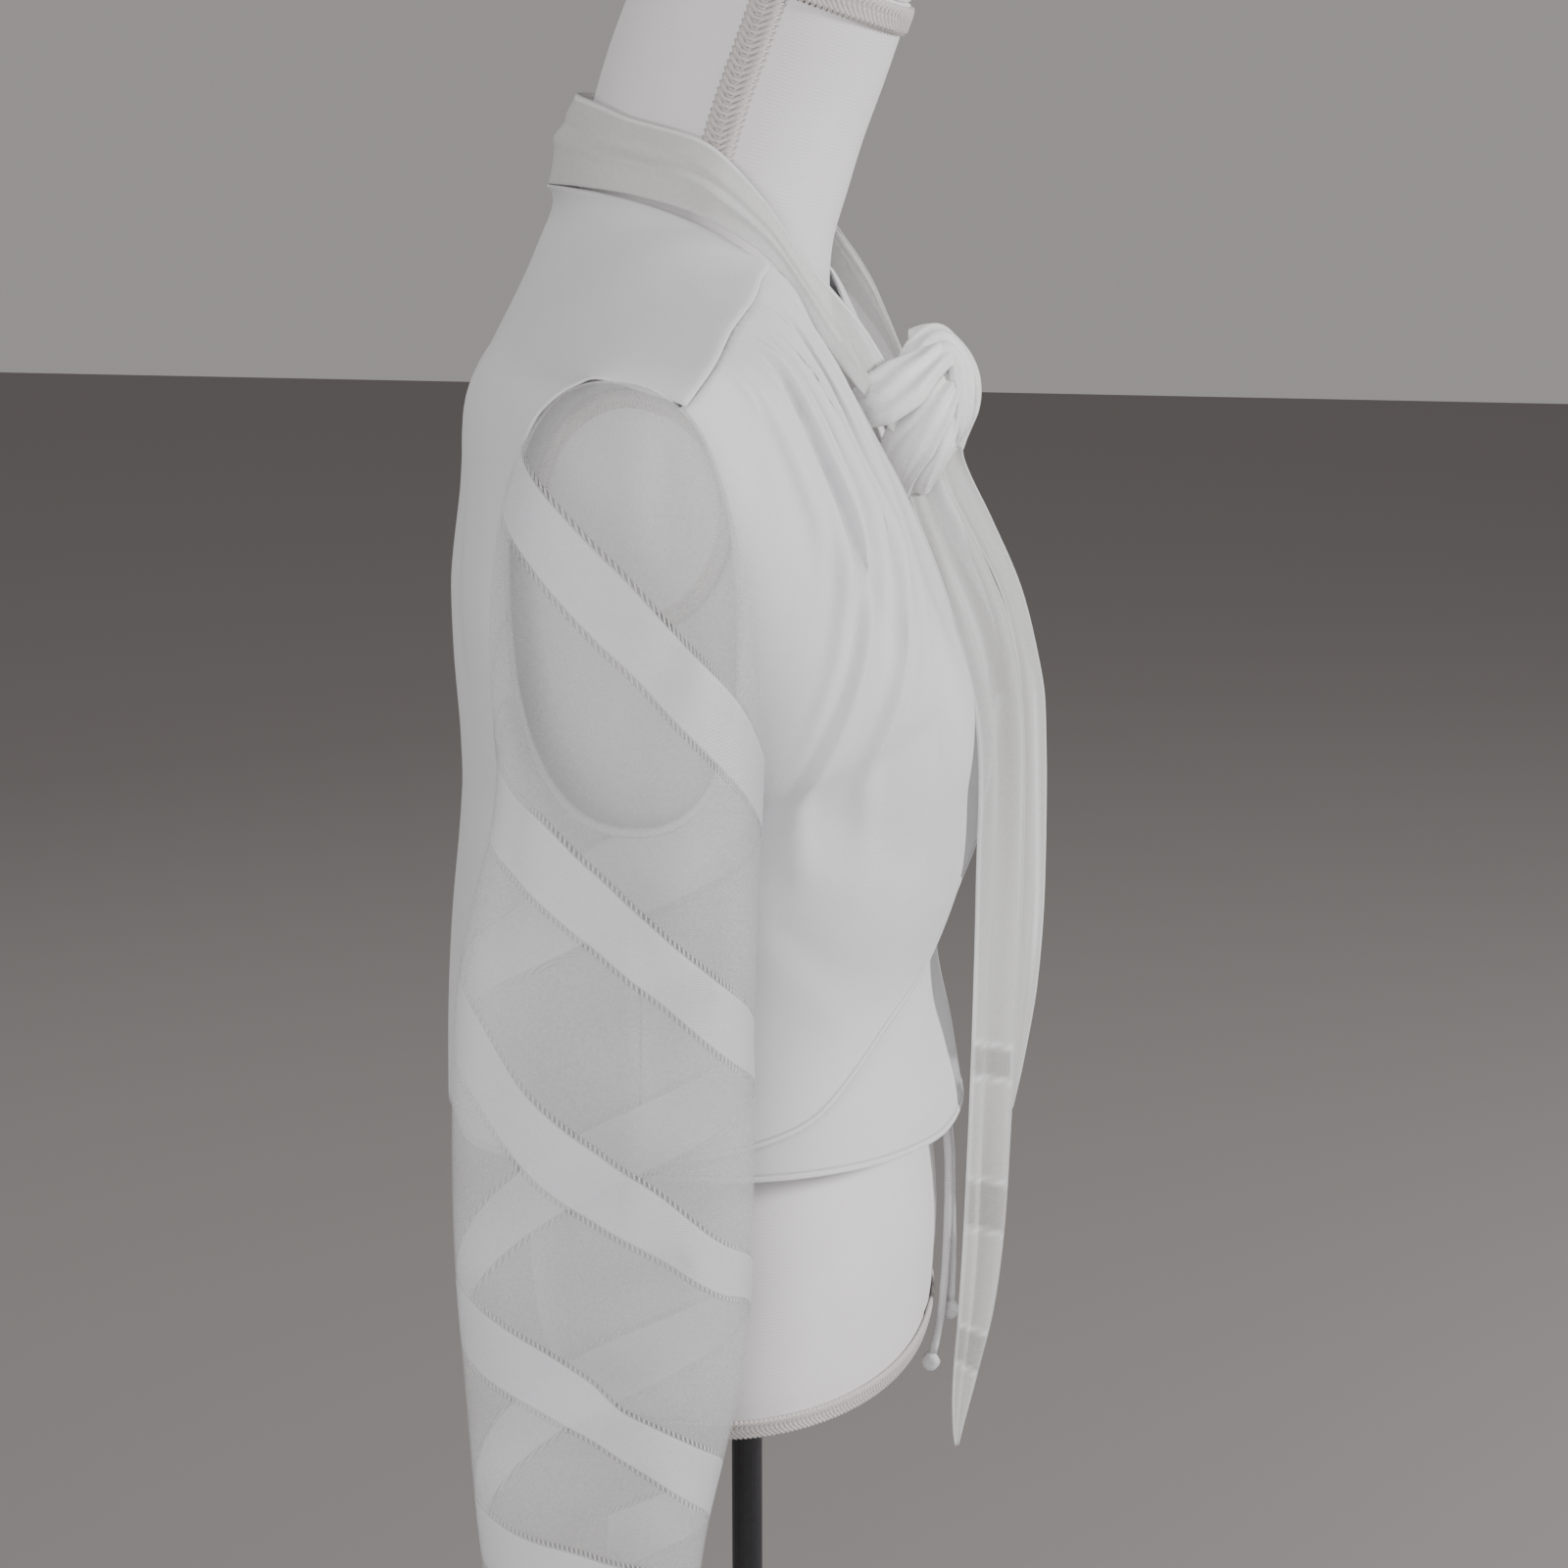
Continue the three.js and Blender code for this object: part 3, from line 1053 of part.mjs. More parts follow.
// A flat strip of braid along a row of points, lying on the surface whose normals are given.
function braidStrip(line, closed) {
  const count = line.length;
  const rows = line.map(({ p, n }, i) => {
    const next = line[closed ? (i + 1) % count : Math.min(i + 1, count - 1)].p;
    const last = line[closed ? (i + count - 1) % count : Math.max(i - 1, 0)].p;
    const across = next.clone().sub(last).cross(n).normalize().multiplyScalar(BRAID.width / 2);
    const low = p.clone().addScaledVector(n, BRAID.lift);
    const high = p.clone().addScaledVector(n, BRAID.lift + BRAID.thickness);
    return [low.clone().sub(across), high.clone().sub(across), high.clone().add(across), low.clone().add(across)];
  });
  if (!closed) return solidOfRings(rows);
  const positions = rows.flat().flatMap((p) => [p.x, p.y, p.z]);
  const index = [];
  for (let i = 0; i < count; i += 1) {
    for (let c = 0; c < 4; c += 1) {
      const a = i * 4 + c;
      const b = i * 4 + (c + 1) % 4;
      const d = ((i + 1) % count) * 4 + c;
      const e = ((i + 1) % count) * 4 + (c + 1) % 4;
      index.push(a, b, e, a, e, d);
    }
  }
  return faceOut(positions, index);
}

function formNormal(angle, z) {
  const nudge = 0.02;
  const round = formPoint(angle + nudge, z).sub(formPoint(angle - nudge, z));
  const up = formPoint(angle, z + 1).sub(formPoint(angle, z - 1));
  return round.cross(up).normalize();
}

function braids() {
  const ringAt = (z, count) => Array.from({ length: count }, (_, i) => {
    const angle = 2 * Math.PI * i / count;
    return { p: formPoint(angle, z), n: formNormal(angle, z) };
  });
  add('form_braid_rim', braidStrip(ringAt(BRAID.rimZ, 44), true), 'braid');
  add('form_braid_neck_top', braidStrip(ringAt(BRAID.neckTopZ, 30), true), 'braid');
  for (const [side, word] of [[-1, 'right'], [1, 'left']]) {
    const line = [];
    for (let z = BRAID.neckFootZ; z <= BRAID.neckHeadZ; z += BRAID.neckStep) {
      const angle = side * NECK_BRAID_ANGLE;
      line.push({ p: formPoint(angle, z), n: formNormal(angle, z) });
    }
    add(`form_braid_neck_${word}`, braidStrip(line, false), 'braid');
  }
}

function stand() {
  const base = new THREE.LatheGeometry([
    new THREE.Vector2(0, 0), new THREE.Vector2(BASE_RADIUS - 2, 0), new THREE.Vector2(BASE_RADIUS, 2),
    new THREE.Vector2(BASE_RADIUS, BASE_THICKNESS - 6), new THREE.Vector2(BASE_RADIUS - 2, BASE_THICKNESS - 2),
    new THREE.Vector2(BASE_RADIUS - 8, BASE_THICKNESS), new THREE.Vector2(HUB_RADIUS + 6, BASE_THICKNESS + 1),
    new THREE.Vector2(HUB_RADIUS, BASE_THICKNESS + 5),
    new THREE.Vector2(HUB_RADIUS - 2, BASE_THICKNESS + HUB_HEIGHT),
    new THREE.Vector2(0, BASE_THICKNESS + HUB_HEIGHT),
  ], 40);
  base.rotateX(Math.PI / 2);
  add('stand_base', base, 'pole');
  const foot = BASE_THICKNESS + HUB_HEIGHT + SEAM_GAP;
  const head = RIM_HEIGHT - SOCKET.height - SEAM_GAP;
  const pole = new THREE.CylinderGeometry(POLE_RADIUS, POLE_RADIUS, head - foot, 24);
  pole.rotateX(Math.PI / 2);
  pole.translate(0, 0, (head + foot) / 2);
  add('stand_pole', pole, 'pole');
  const socketHeight = SOCKET.height - SEAM_GAP;
  const socket = new THREE.CylinderGeometry(SOCKET.topRadius, SOCKET.footRadius, socketHeight, 28);
  socket.rotateX(Math.PI / 2);
  socket.translate(0, 0, RIM_HEIGHT - SEAM_GAP - socketHeight / 2);
  add('stand_socket', socket, 'pole');
}

stand();
add('form_torso', formTorso(), 'cover');
add('form_neck_cap', neckCap(), 'cover');
add('form_arm_plate_right', armPlate(-1), 'cover');
add('form_arm_plate_left', armPlate(1), 'cover');
braids();
add('back', backPanel(), 'cloth');
// The right front crosses over the left one: from its own side to the far one it rises by half the step over
// the middle, while the left front sinks by the other half.
const layerRise = (x) => LAYER_STEP * (x + OVERLAP_HALF_WIDTH) / (2 * OVERLAP_HALF_WIDTH);
add('front_right', frontPanel(-1, PETAL_HEM, PETAL_HEM_SIDE_Z, WRAP_END.petalZ, layerRise, 250), 'cloth');
add('front_left', frontPanel(1, STRAIGHT_HEM, STRAIGHT_HEM_SIDE_Z, STRAIGHT_HEM_FAR_Z,
  (x) => -layerRise(x), 372), 'cloth');
for (const [side, word] of [[-1, 'right'], [1, 'left']]) {
  add(`sleeve_${word}`, sleeve(side), 'sheer');
  for (const [letter, rows] of Object.entries(SLEEVE_BANDS)) {
    add(`sleeve_band_${letter}_${word}`, sleeveBand(rows, side), 'band');
  }
}
add('tie_collar', collar(), 'sheer');
add('tie_knot', knot(), 'sheer');
for (const [name, data] of Object.entries(TIE_TAILS)) add(name, tail(data), 'sheer');
for (const [name, route] of Object.entries(WAIST_CORDS)) cordSolids(name, route);

export default part;
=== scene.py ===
import bpy
import numpy as np
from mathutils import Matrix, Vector


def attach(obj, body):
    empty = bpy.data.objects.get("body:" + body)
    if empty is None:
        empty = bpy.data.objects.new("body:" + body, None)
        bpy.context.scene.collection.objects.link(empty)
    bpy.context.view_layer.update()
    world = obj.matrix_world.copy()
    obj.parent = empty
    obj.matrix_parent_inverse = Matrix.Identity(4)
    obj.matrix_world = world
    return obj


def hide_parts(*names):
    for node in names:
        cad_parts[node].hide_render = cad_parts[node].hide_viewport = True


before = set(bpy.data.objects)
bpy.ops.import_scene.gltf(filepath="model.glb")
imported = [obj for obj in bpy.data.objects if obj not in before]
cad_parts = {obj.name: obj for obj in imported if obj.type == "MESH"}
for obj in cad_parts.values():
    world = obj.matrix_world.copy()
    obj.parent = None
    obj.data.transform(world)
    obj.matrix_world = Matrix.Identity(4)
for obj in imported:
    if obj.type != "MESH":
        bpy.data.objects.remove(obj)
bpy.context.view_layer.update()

# The camera stands at the wearer's right, a little in front, and looks slightly down, as in the photograph.
aim = Vector((0.0034, -0.0192, 0.8466))
stand_point = Vector((-1.4299, -0.2719, 1.2095))
camera = bpy.data.objects.new("camera", bpy.data.cameras.new("camera"))
camera.data.lens = 69.2
camera.data.sensor_width = 36
camera.location = stand_point
camera.rotation_euler = (aim - stand_point).to_track_quat("-Z", "Y").to_euler()
bpy.context.scene.collection.objects.link(camera)
bpy.context.scene.camera = camera

# Studio light: a large soft key from the wearer's front, a weaker one behind, and a grey room.
for name, spot, size, power in (
        ("key", (0.3, -3.3, 1.9), 0.8, 152), ("fill", (-3.2, 0.1, 1.5), 1.8, 86), ("rim", (1.8, 1.6, 2.2), 1.4, 12)):
    light = bpy.data.lights.new(name, "AREA")
    light.size, light.energy = size, power
    lamp = bpy.data.objects.new(name, light)
    lamp.location = spot
    lamp.rotation_euler = (Vector((0, 0, 0.9)) - Vector(spot)).to_track_quat("-Z", "Y").to_euler()
    bpy.context.scene.collection.objects.link(lamp)
world = bpy.data.worlds.new("room")
world.use_nodes = True
room = world.node_tree.nodes["Background"].inputs
room["Color"].default_value = (0.82, 0.775, 0.765, 1)
room["Strength"].default_value = 0.40
bpy.context.scene.world = world
floor = bpy.data.meshes.new("floor")
corners = [(9 * x, 9 * y, -0.0006) for x, y in ((-1, -1), (1, -1), (1, 1), (-1, 1))]
floor.from_pydata(corners, [], [(0, 1, 2, 3)])
floor.materials.append(bpy.data.materials.new("floor_paper"))
floor.materials[0].use_nodes = True
paper = floor.materials[0].node_tree.nodes["Principled BSDF"].inputs
paper["Base Color"].default_value = (0.25, 0.235, 0.228, 1)
paper["Roughness"].default_value = 0.9
floor_object = bpy.data.objects.new("floor", floor)
bpy.context.scene.collection.objects.link(floor_object)


# The two narrow cords are rolled self-fabric tubes, stitched inside the front hem, with a round knot at the free
# end. Both hang straight down under their own weight.
class Value:
    """A number, colour or vector on a shader socket. Sums, differences and products add Math nodes."""

    def __init__(self, finish, socket):
        self.finish, self.socket = finish, socket

    def maths(self, operation, *others):
        return self.finish.node("ShaderNodeMath", {"operation": operation}, dict(enumerate((self, *others))))

    def __add__(self, other):
        return self.maths("ADD", other)

    def __sub__(self, other):
        return self.maths("SUBTRACT", other)

    def __rsub__(self, other):
        return self.finish.node("ShaderNodeMath", {"operation": "SUBTRACT"}, {0: other, 1: self})

    def __mul__(self, other):
        return self.maths("MULTIPLY", other)

    __radd__, __rmul__ = __add__, __mul__

    def clamped(self):
        return self.finish.node("ShaderNodeClamp", {}, {0: self})

    def above(self, edge, soft):
        """1 where the value is over the edge, 0 under it, with a soft step between."""
        return self.finish.node("ShaderNodeMapRange", {"interpolation_type": "SMOOTHSTEP"}, {
            "Value": self, "From Min": edge - soft, "From Max": edge + soft, "To Min": 0.0, "To Max": 1.0})


class Finish:
    """A material with one Principled shader. Constants go straight on the shader's sockets."""

    def __init__(self, name, **constants):
        self.material = bpy.data.materials.new(name)
        self.material.use_nodes = True
        self.tree = self.material.node_tree
        self.shader = self.tree.nodes["Principled BSDF"]
        for socket, value in constants.items():
            self.shader.inputs[socket.replace("_", " ")].default_value = value

    def node(self, kind, settings, inputs, output=0):
        """Any node: its settings first, then the values or links of its sockets."""
        made = self.tree.nodes.new(kind)
        for key, value in settings.items():
            setattr(made, key, value)
        for key, value in inputs.items():
            if isinstance(value, Value):
                self.tree.links.new(value.socket, made.inputs[key])
            else:
                made.inputs[key].default_value = value
        return Value(self, made.outputs[output])

    def feed(self, socket, value):
        self.tree.links.new(value.socket, self.shader.inputs[socket])

    def attribute(self, name):
        return self.node("ShaderNodeAttribute", {"attribute_name": name}, {}, "Fac")

    def thread(self, pitch, axis):
        """Waves of one thread a pitch apart across the piece's own UV map, which is in metres. 0 is X, 1 is Y."""
        uv = self.node("ShaderNodeUVMap", {"uv_map": "cloth"}, {})
        part = self.node("ShaderNodeSeparateXYZ", {}, {0: uv}, axis)
        return (part * (2 * np.pi / pitch)).maths("SINE")

    def weave(self, pitch):
        """Warp times weft, both one pitch apart."""
        return self.thread(pitch, 0) * self.thread(pitch, 1)

    def noise(self, scale, detail=3.0, stretch=(1, 1, 1)):
        spot = self.node("ShaderNodeTexCoord", {}, {}, "Object")
        spread = self.node("ShaderNodeMapping", {}, {"Vector": spot, "Scale": stretch})
        return self.node("ShaderNodeTexNoise", {}, {"Vector": spread, "Scale": scale, "Detail": detail}, "Fac")

    def mix(self, factor, low, high):
        return self.node("ShaderNodeMix", {"data_type": "RGBA"}, {
            0: factor, 6: low if isinstance(low, Value) else (*low, 1),
            7: high if isinstance(high, Value) else (*high, 1)}, 2)

    def bump(self, height, distance, strength=1.0):
        self.feed("Normal", self.node("ShaderNodeBump", {}, {
            "Height": height, "Distance": distance, "Strength": strength}))


def smooth_line(points, shares):
    """A centripetal Catmull-Rom curve through the points, sampled at shares of its length."""
    p = np.asarray(points, float)
    p = np.vstack([2 * p[0] - p[1], p, 2 * p[-1] - p[-2]])
    fine = []
    for a, b, c, d in zip(p[:-3], p[1:-2], p[2:-1], p[3:]):
        ab, bc, cd = (max(np.linalg.norm(v - u) ** 0.5, 1e-9) for u, v in ((a, b), (b, c), (c, d)))
        leave = ((b - a) / ab - (c - a) / (ab + bc) + (c - b) / bc) * bc
        arrive = ((c - b) / bc - (d - b) / (bc + cd) + (d - c) / cd) * bc
        t = np.linspace(0, 1, 25)[:-1, None]
        fine.append((2 * t**3 - 3 * t**2 + 1) * b + (t**3 - 2 * t**2 + t) * leave
                    + (3 * t**2 - 2 * t**3) * c + (t**3 - t**2) * arrive)
    fine = np.vstack([*fine, p[-2:-1]])
    run = np.r_[0, np.cumsum(np.linalg.norm(np.diff(fine, axis=0), axis=1))]
    return np.stack([np.interp(np.asarray(shares) * run[-1], run, fine[:, k]) for k in range(p.shape[1])], -1)


rim_height = 560


def place(x, f, z):
    """A point from its distance to the wearer's left, forward of the pole and above the form's rim, in mm."""
    x, f, z = (np.asarray(v, float) for v in (x, f, z))
    return np.stack(np.broadcast_arrays(x, -f, rim_height + z), -1) / 1000


def piece(name, points, faces, finish, uv=None, values=None):
    """A mesh object from whole arrays of points and faces, with its UV map in metres and its values per point."""
    mesh = bpy.data.meshes.new(name)
    points, faces = np.asarray(points, np.float32), np.asarray(faces, np.int32)
    mesh.vertices.add(len(points))
    mesh.vertices.foreach_set("co", points.ravel())
    mesh.loops.add(faces.size)
    mesh.loops.foreach_set("vertex_index", faces.ravel())
    mesh.polygons.add(len(faces))
    mesh.polygons.foreach_set("loop_start", np.arange(len(faces), dtype=np.int32) * faces.shape[1])
    mesh.polygons.foreach_set("use_smooth", np.ones(len(faces), bool))
    if uv is not None:
        mesh.uv_layers.new(name="cloth").data.foreach_set("uv", np.asarray(uv, np.float32)[faces.ravel()].ravel())
    for key, value in (values or {}).items():
        mesh.attributes.new(key, "FLOAT", "POINT").data.foreach_set("value", np.asarray(value, np.float32).ravel())
    mesh.update(calc_edges=True)
    mesh.materials.append(finish.material)
    made = bpy.data.objects.new(name, mesh)
    bpy.context.scene.collection.objects.link(made)
    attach(made, "root")
    return made


def grid_faces(rows, columns, shut=False, start=0):
    """Quads between neighbouring points of a grid, which is shut when its last column meets its first."""
    r, c = np.meshgrid(np.arange(rows - 1), np.arange(columns if shut else columns - 1), indexing="ij")
    n = (c + 1) % columns
    corners = [r * columns + c, r * columns + n, (r + 1) * columns + n, (r + 1) * columns + c]
    return start + np.stack(corners, -1).reshape(-1, 4)


def tube(path, radius, sides=10):
    """Rings square to a path, their sides set by one fixed direction crossed with the path."""
    way = np.gradient(path, axis=0)
    way /= np.linalg.norm(way, axis=1, keepdims=True)
    side = np.cross(way, (0.3, 1, 0.1))
    side /= np.linalg.norm(side, axis=1, keepdims=True)
    up = np.cross(side, way)
    turn = np.linspace(0, 2 * np.pi, sides, endpoint=False)
    ring = side[:, None] * np.cos(turn)[None, :, None] + up[:, None] * np.sin(turn)[None, :, None]
    return path[:, None] + ring * np.broadcast_to(np.asarray(radius, float), len(path))[:, None, None]


def closed(rings):
    """The points, triangles and UVs of a closed solid of rings, whose end rings are drawn in to their middles."""
    middles = rings[[0, -1]].mean(1, keepdims=True)
    first, last = middles + (rings[[0, -1]] - middles) * 0.02
    grid = np.concatenate([[first], rings, [last]])
    rows, columns = grid.shape[:2]
    faces = grid_faces(rows, columns, True)
    points = grid.reshape(-1, 3)
    triangles = np.vstack([faces[:, [0, 1, 2]], faces[:, [0, 2, 3]]])
    fan = np.stack([np.full(columns - 2, 0), np.arange(2, columns), np.arange(1, columns - 1)], -1)
    triangles = np.vstack([triangles, fan, fan[:, ::-1] + (rows - 1) * columns])
    a, b, c = (points[triangles[:, k]] - points.mean(0) for k in range(3))
    if np.sum(a * np.cross(b, c)) < 0:
        triangles = triangles[:, ::-1]
    u = np.broadcast_to(np.linspace(0, 1, columns), (rows, columns)) * 0.016
    v = np.r_[0, np.cumsum(np.linalg.norm(np.diff(grid[:, 0], axis=0), axis=1))][:, None] + np.zeros(columns)
    return points, triangles, np.stack([u, v], -1).reshape(-1, 2)


def capped(name, finish, slot, *solids):
    """One piece of one or more closed solids of rings."""
    parts = [closed(rings) for rings in solids]
    starts = np.cumsum([0] + [len(points) for points, _, _ in parts])
    faces = np.vstack([triangles + start for (_, triangles, _), start in zip(parts, starts)])
    return piece(name, np.vstack([p[0] for p in parts]), faces, finish, np.vstack([p[2] for p in parts]))


cord_cloth = Finish("cord_cloth", Roughness=0.72, Sheen_Weight=0.2)
twill = cord_cloth.thread(0.0011, 1) * 0.5 + cord_cloth.noise(900, 2) * 0.6
cord_cloth.feed("Base Color", cord_cloth.mix(twill.above(0.3, 0.5), (0.55, 0.54, 0.56), (0.70, 0.69, 0.71)))
cord_cloth.bump(twill, 0.0003, 0.7)
waist_cords = {
    "waist_cord_right": [(22, 98.2, 150), (22.5, 98.5, 120), (23, 101.5, 90), (22, 102, 60), (21, 101, 25),
                         (20, 98.5, -5), (19, 95.5, -20)],
    "waist_cord_left": [(36, 97.3, 150), (37, 97.5, 120), (38, 101, 90), (38, 102, 60), (36, 103, 30), (33, 103, 4)],
}
for name, route in waist_cords.items():
    line = smooth_line([place(*p) for p in route], np.linspace(0, 1, 36))
    length = float(np.sum(np.linalg.norm(np.diff(line, axis=0), axis=1)))
    cord = capped(name, cord_cloth, "cloth", tube(line, 0.0021 + 0.00008 * np.sin(np.arange(36) * 1.7)))
    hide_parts(name)
    way = (line[-1] - line[-2]) / np.linalg.norm(line[-1] - line[-2])
    polar = np.linspace(0.12, np.pi - 0.12, 15)[:, None]
    turn = np.linspace(0, 2 * np.pi, 24, endpoint=False)[None]
    bulge = 1 + 0.09 * np.sin(2 * turn + 3.2 * polar) * np.sin(polar)
    ball = np.stack(np.broadcast_arrays(
        0.0041 * np.sin(polar) * bulge * np.cos(turn), 0.0046 * np.sin(polar) * bulge * np.sin(turn),
        -0.0053 * np.cos(polar) + 0 * turn), -1)
    knot = capped(f"{name}_knot", cord_cloth, "cloth", ball + line[-1] + way * 0.0051)
    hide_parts(f"{name}_knot")


# The stand is a round steel base, a straight steel pole screwed into it and the socket plate that carries the
# form, all in black paint.
black_paint = Finish("black_paint", Specular_IOR_Level=0.5)
speckle = black_paint.noise(260, 4)
black_paint.feed("Base Color", black_paint.mix(speckle, (0.010, 0.010, 0.012), (0.024, 0.023, 0.026)))
black_paint.feed("Roughness", speckle * 0.22 + 0.28)
black_paint.bump(speckle, 0.00008, 0.5)
for name in ("stand_base", "stand_pole", "stand_socket"):
    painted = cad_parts[name].data.materials
    painted.clear()
    painted.append(black_paint.material)

# The dress form is a foam body without limbs, covered in a coarse white weave with a seam down each side and
# centre. Its neck leans forward and ends in a plain padded cap.
form_sections = {
    "z": [0, 25, 70, 120, 170, 210, 255, 300, 350, 400, 440, 475, 497, 508, 520, 533, 548, 566, 590, 620, 650, 684],
    "halfWidth": [143, 148, 147, 137, 123, 117, 124, 137, 149, 158, 162, 163, 163, 155, 133, 96.5, 70, 58, 56, 55,
                  54, 54],
    "front": [92, 95, 96, 90, 80, 76, 82, 90, 95, 83, 70, 56, 47, 43, 40, 40, 41, 43, 49, 57, 67, 79],
    "back": [-93, -101, -105, -97, -83, -76, -82, -97, -112, -118, -113, -104, -98, -94, -90, -86, -82, -78, -74, -64,
             -51, -37],
    "middle": [-4, -5, -8, -8, -8, -8, -12, -18, -20, -20, -20, -20, -20, -20, -20, -20, -20, -18, -12, -3, 8, 21],
    "tilt": [0] * 14 + [2, 4, 7, 10, 14, 18, 21, 21],
    "power": [2.2] * 8 + [2.3, 2.5, 2.7, 2.6, 2.3, 2.1, 2, 2, 2, 2.1, 2, 2, 2, 2],
}
form_bust = {"x": 82, "z": 345, "rise": 17, "halfWidth": 46, "above": 50, "below": 55}


def column(table, key, where, name):
    """A smooth value of one column at places in a table, by Hermite cubics through its rows."""
    x, y = np.asarray(table[key], float), np.asarray(table[name], float)
    where = np.asarray(where, float)
    if x[0] > x[-1]:
        x, y = x[::-1], y[::-1]
    i = np.clip(np.searchsorted(x, where, side="right") - 1, 0, len(x) - 2)
    slope = np.empty_like(y)
    slope[1:-1] = (y[2:] - y[:-2]) / (x[2:] - x[:-2])
    slope[0], slope[-1] = (y[1] - y[0]) / (x[1] - x[0]), (y[-1] - y[-2]) / (x[-1] - x[-2])
    span = x[i + 1] - x[i]
    t = np.clip((where - x[i]) / span, 0, 1)
    return ((2 * t**3 - 3 * t**2 + 1) * y[i] + (t**3 - 2 * t**2 + t) * span * slope[i]
            + (3 * t**2 - 2 * t**3) * y[i + 1] + (t**3 - t**2) * span * slope[i + 1])


def columns_of(table, key, where, *names):
    """Several columns at the same places."""
    return [column(table, key, where, name) for name in names]


def ease(value, low, high):
    """A smooth step from 0 to 1 between two values."""
    t = np.clip((np.asarray(value, float) - low) / (high - low), 0, 1)
    return t * t * (3 - 2 * t)


def power_of(value, power):
    """The power of a value's size, with the value's sign."""
    return np.sign(value) * np.abs(value) ** power


def section(table, bust, angle, z, scale=1.0):
    """A point of the body: a superellipse of the half width and depths at its height, with two soft swells for
    the bust. Angle 0 is the centre front, a quarter turn the wearer's left side."""
    wide, front, back, middle, power = columns_of(table, "z", z, "halfWidth", "front", "back", "middle", "power")
    across, along = power_of(np.sin(angle), 2 / power), power_of(np.cos(angle), 2 / power)
    x = wide * across
    spread = np.where(np.asarray(z) > bust["z"], bust["above"], bust["below"])
    away = ((np.abs(x) - bust["x"]) / bust["halfWidth"]) ** 2 + ((z - bust["z"]) / spread) ** 2
    f = middle + np.where(along > 0, front - middle, middle - back) * along
    f = f + bust["rise"] * np.exp(-away) * np.clip(along * 4, 0, 1)
    return x * scale, middle + (f - middle) * scale


def form_at(angle, z, lift=0.0):
    """A point of the form, its section tipped forward by its tilt, moved out by a lift in mm."""
    x, f = section(form_sections, form_bust, angle, z)
    middle, wide, tilt = columns_of(form_sections, "z", z, "middle", "halfWidth", "tilt")
    grow = 1 + lift / wide
    f = middle + (f - middle) * grow
    return place(x * grow, f, z - (f - middle) * np.tan(np.radians(tilt)))


form_cover = Finish("form_cover", Roughness=0.88, Sheen_Weight=0.25)
weave = form_cover.weave(0.0016)
mottle = form_cover.noise(14, 4)
form_cover.feed("Base Color", form_cover.mix(weave * 0.06 + mottle * 0.8, (0.66, 0.635, 0.64), (0.80, 0.775, 0.785)))
form_cover.bump(weave * 0.25 + form_cover.noise(420, 2) * 0.4, 0.0002, 0.6)
heights = np.r_[np.linspace(0.001, 24, 8)[:-1], np.linspace(24, 684, 150)]
turns = np.linspace(0, 2 * np.pi, 144, endpoint=False)
angle, height = np.meshgrid(turns, heights)
seam = np.minimum.reduce([np.abs(np.angle(np.exp(1j * (angle - k)))) for k in (0, np.pi / 2, np.pi, -np.pi / 2)])
body = form_at(angle, height, -0.7 * np.exp(-((seam / 0.02) ** 2)) - 2.2 * np.exp(-((height / 2.5) ** 2)))
torso = capped("form_body", form_cover, "cover", body)
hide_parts("form_torso")

rim = form_at(turns, np.full(144, 684.0))
centre = rim.mean(0)
lean = np.radians(21)
up = np.array((0, -np.sin(lean), np.cos(lean)))
rise = np.array([0.3, 1.2, 2.4, 3.8, 5, 6.6, 8, 9.6, 11, 12.1, 12.8])
share = np.array([0.965, 0.984, 0.99, 0.984, 0.97, 0.925, 0.86, 0.74, 0.58, 0.36, 0.12])
cap = centre + (rim - centre)[None] * share[:, None, None] + up * rise[:, None, None] / 1000
neck_cap = capped("form_cap", form_cover, "cover", cap)
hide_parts("form_neck_cap")

# The arm plates are padded oval boards in the form's cover, glued one on each side of the form where an arm
# would start.
def side_of_form(f, z):
    """How far out the form's side stands at a place forward and up: its section's superellipse, solved for x."""
    wide, front, back, middle, power = columns_of(
        form_sections, "z", z, "halfWidth", "front", "back", "middle", "power")
    share = np.abs((f - middle) / np.where(f > middle, front - middle, middle - back))
    return wide * (1 - share ** power) ** (1 / power)


plate_shares = np.r_[0.04, 0.2, 0.4, 0.6, 0.78, 0.9, 0.97, 1.0]
for side, word in ((-1, "right"), (1, "left")):
    oval, share = np.meshgrid(np.linspace(0, 2 * np.pi, 72, endpoint=False), plate_shares)
    f = -19 + 43 * share * np.cos(oval)
    z = 447 + 53 * share * np.sin(oval)
    x = side_of_form(f, z)
    face = place(side * (x + 3.1 - 1.0 * ease(share, 0.9, 1)), f, z)
    under = place(side * (x + 1.1), f, z)
    plate = capped(f"form_plate_{word}", form_cover, "cover", np.concatenate([face, under[::-1]]))
    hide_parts(f"form_arm_plate_{word}")

# Gimp braid is glued along the rim, the neck's top, the neck's sides and round each arm plate: a flat woven cord
# with a row of small loops on both edges.
braid_thread = Finish("braid_thread", Roughness=0.8, Sheen_Weight=0.3)
strand = braid_thread.noise(1500, 3)
braid_thread.feed("Base Color", braid_thread.mix(strand, (0.34, 0.31, 0.295), (0.74, 0.70, 0.68)))
braid_thread.bump(strand, 0.0003, 0.8)


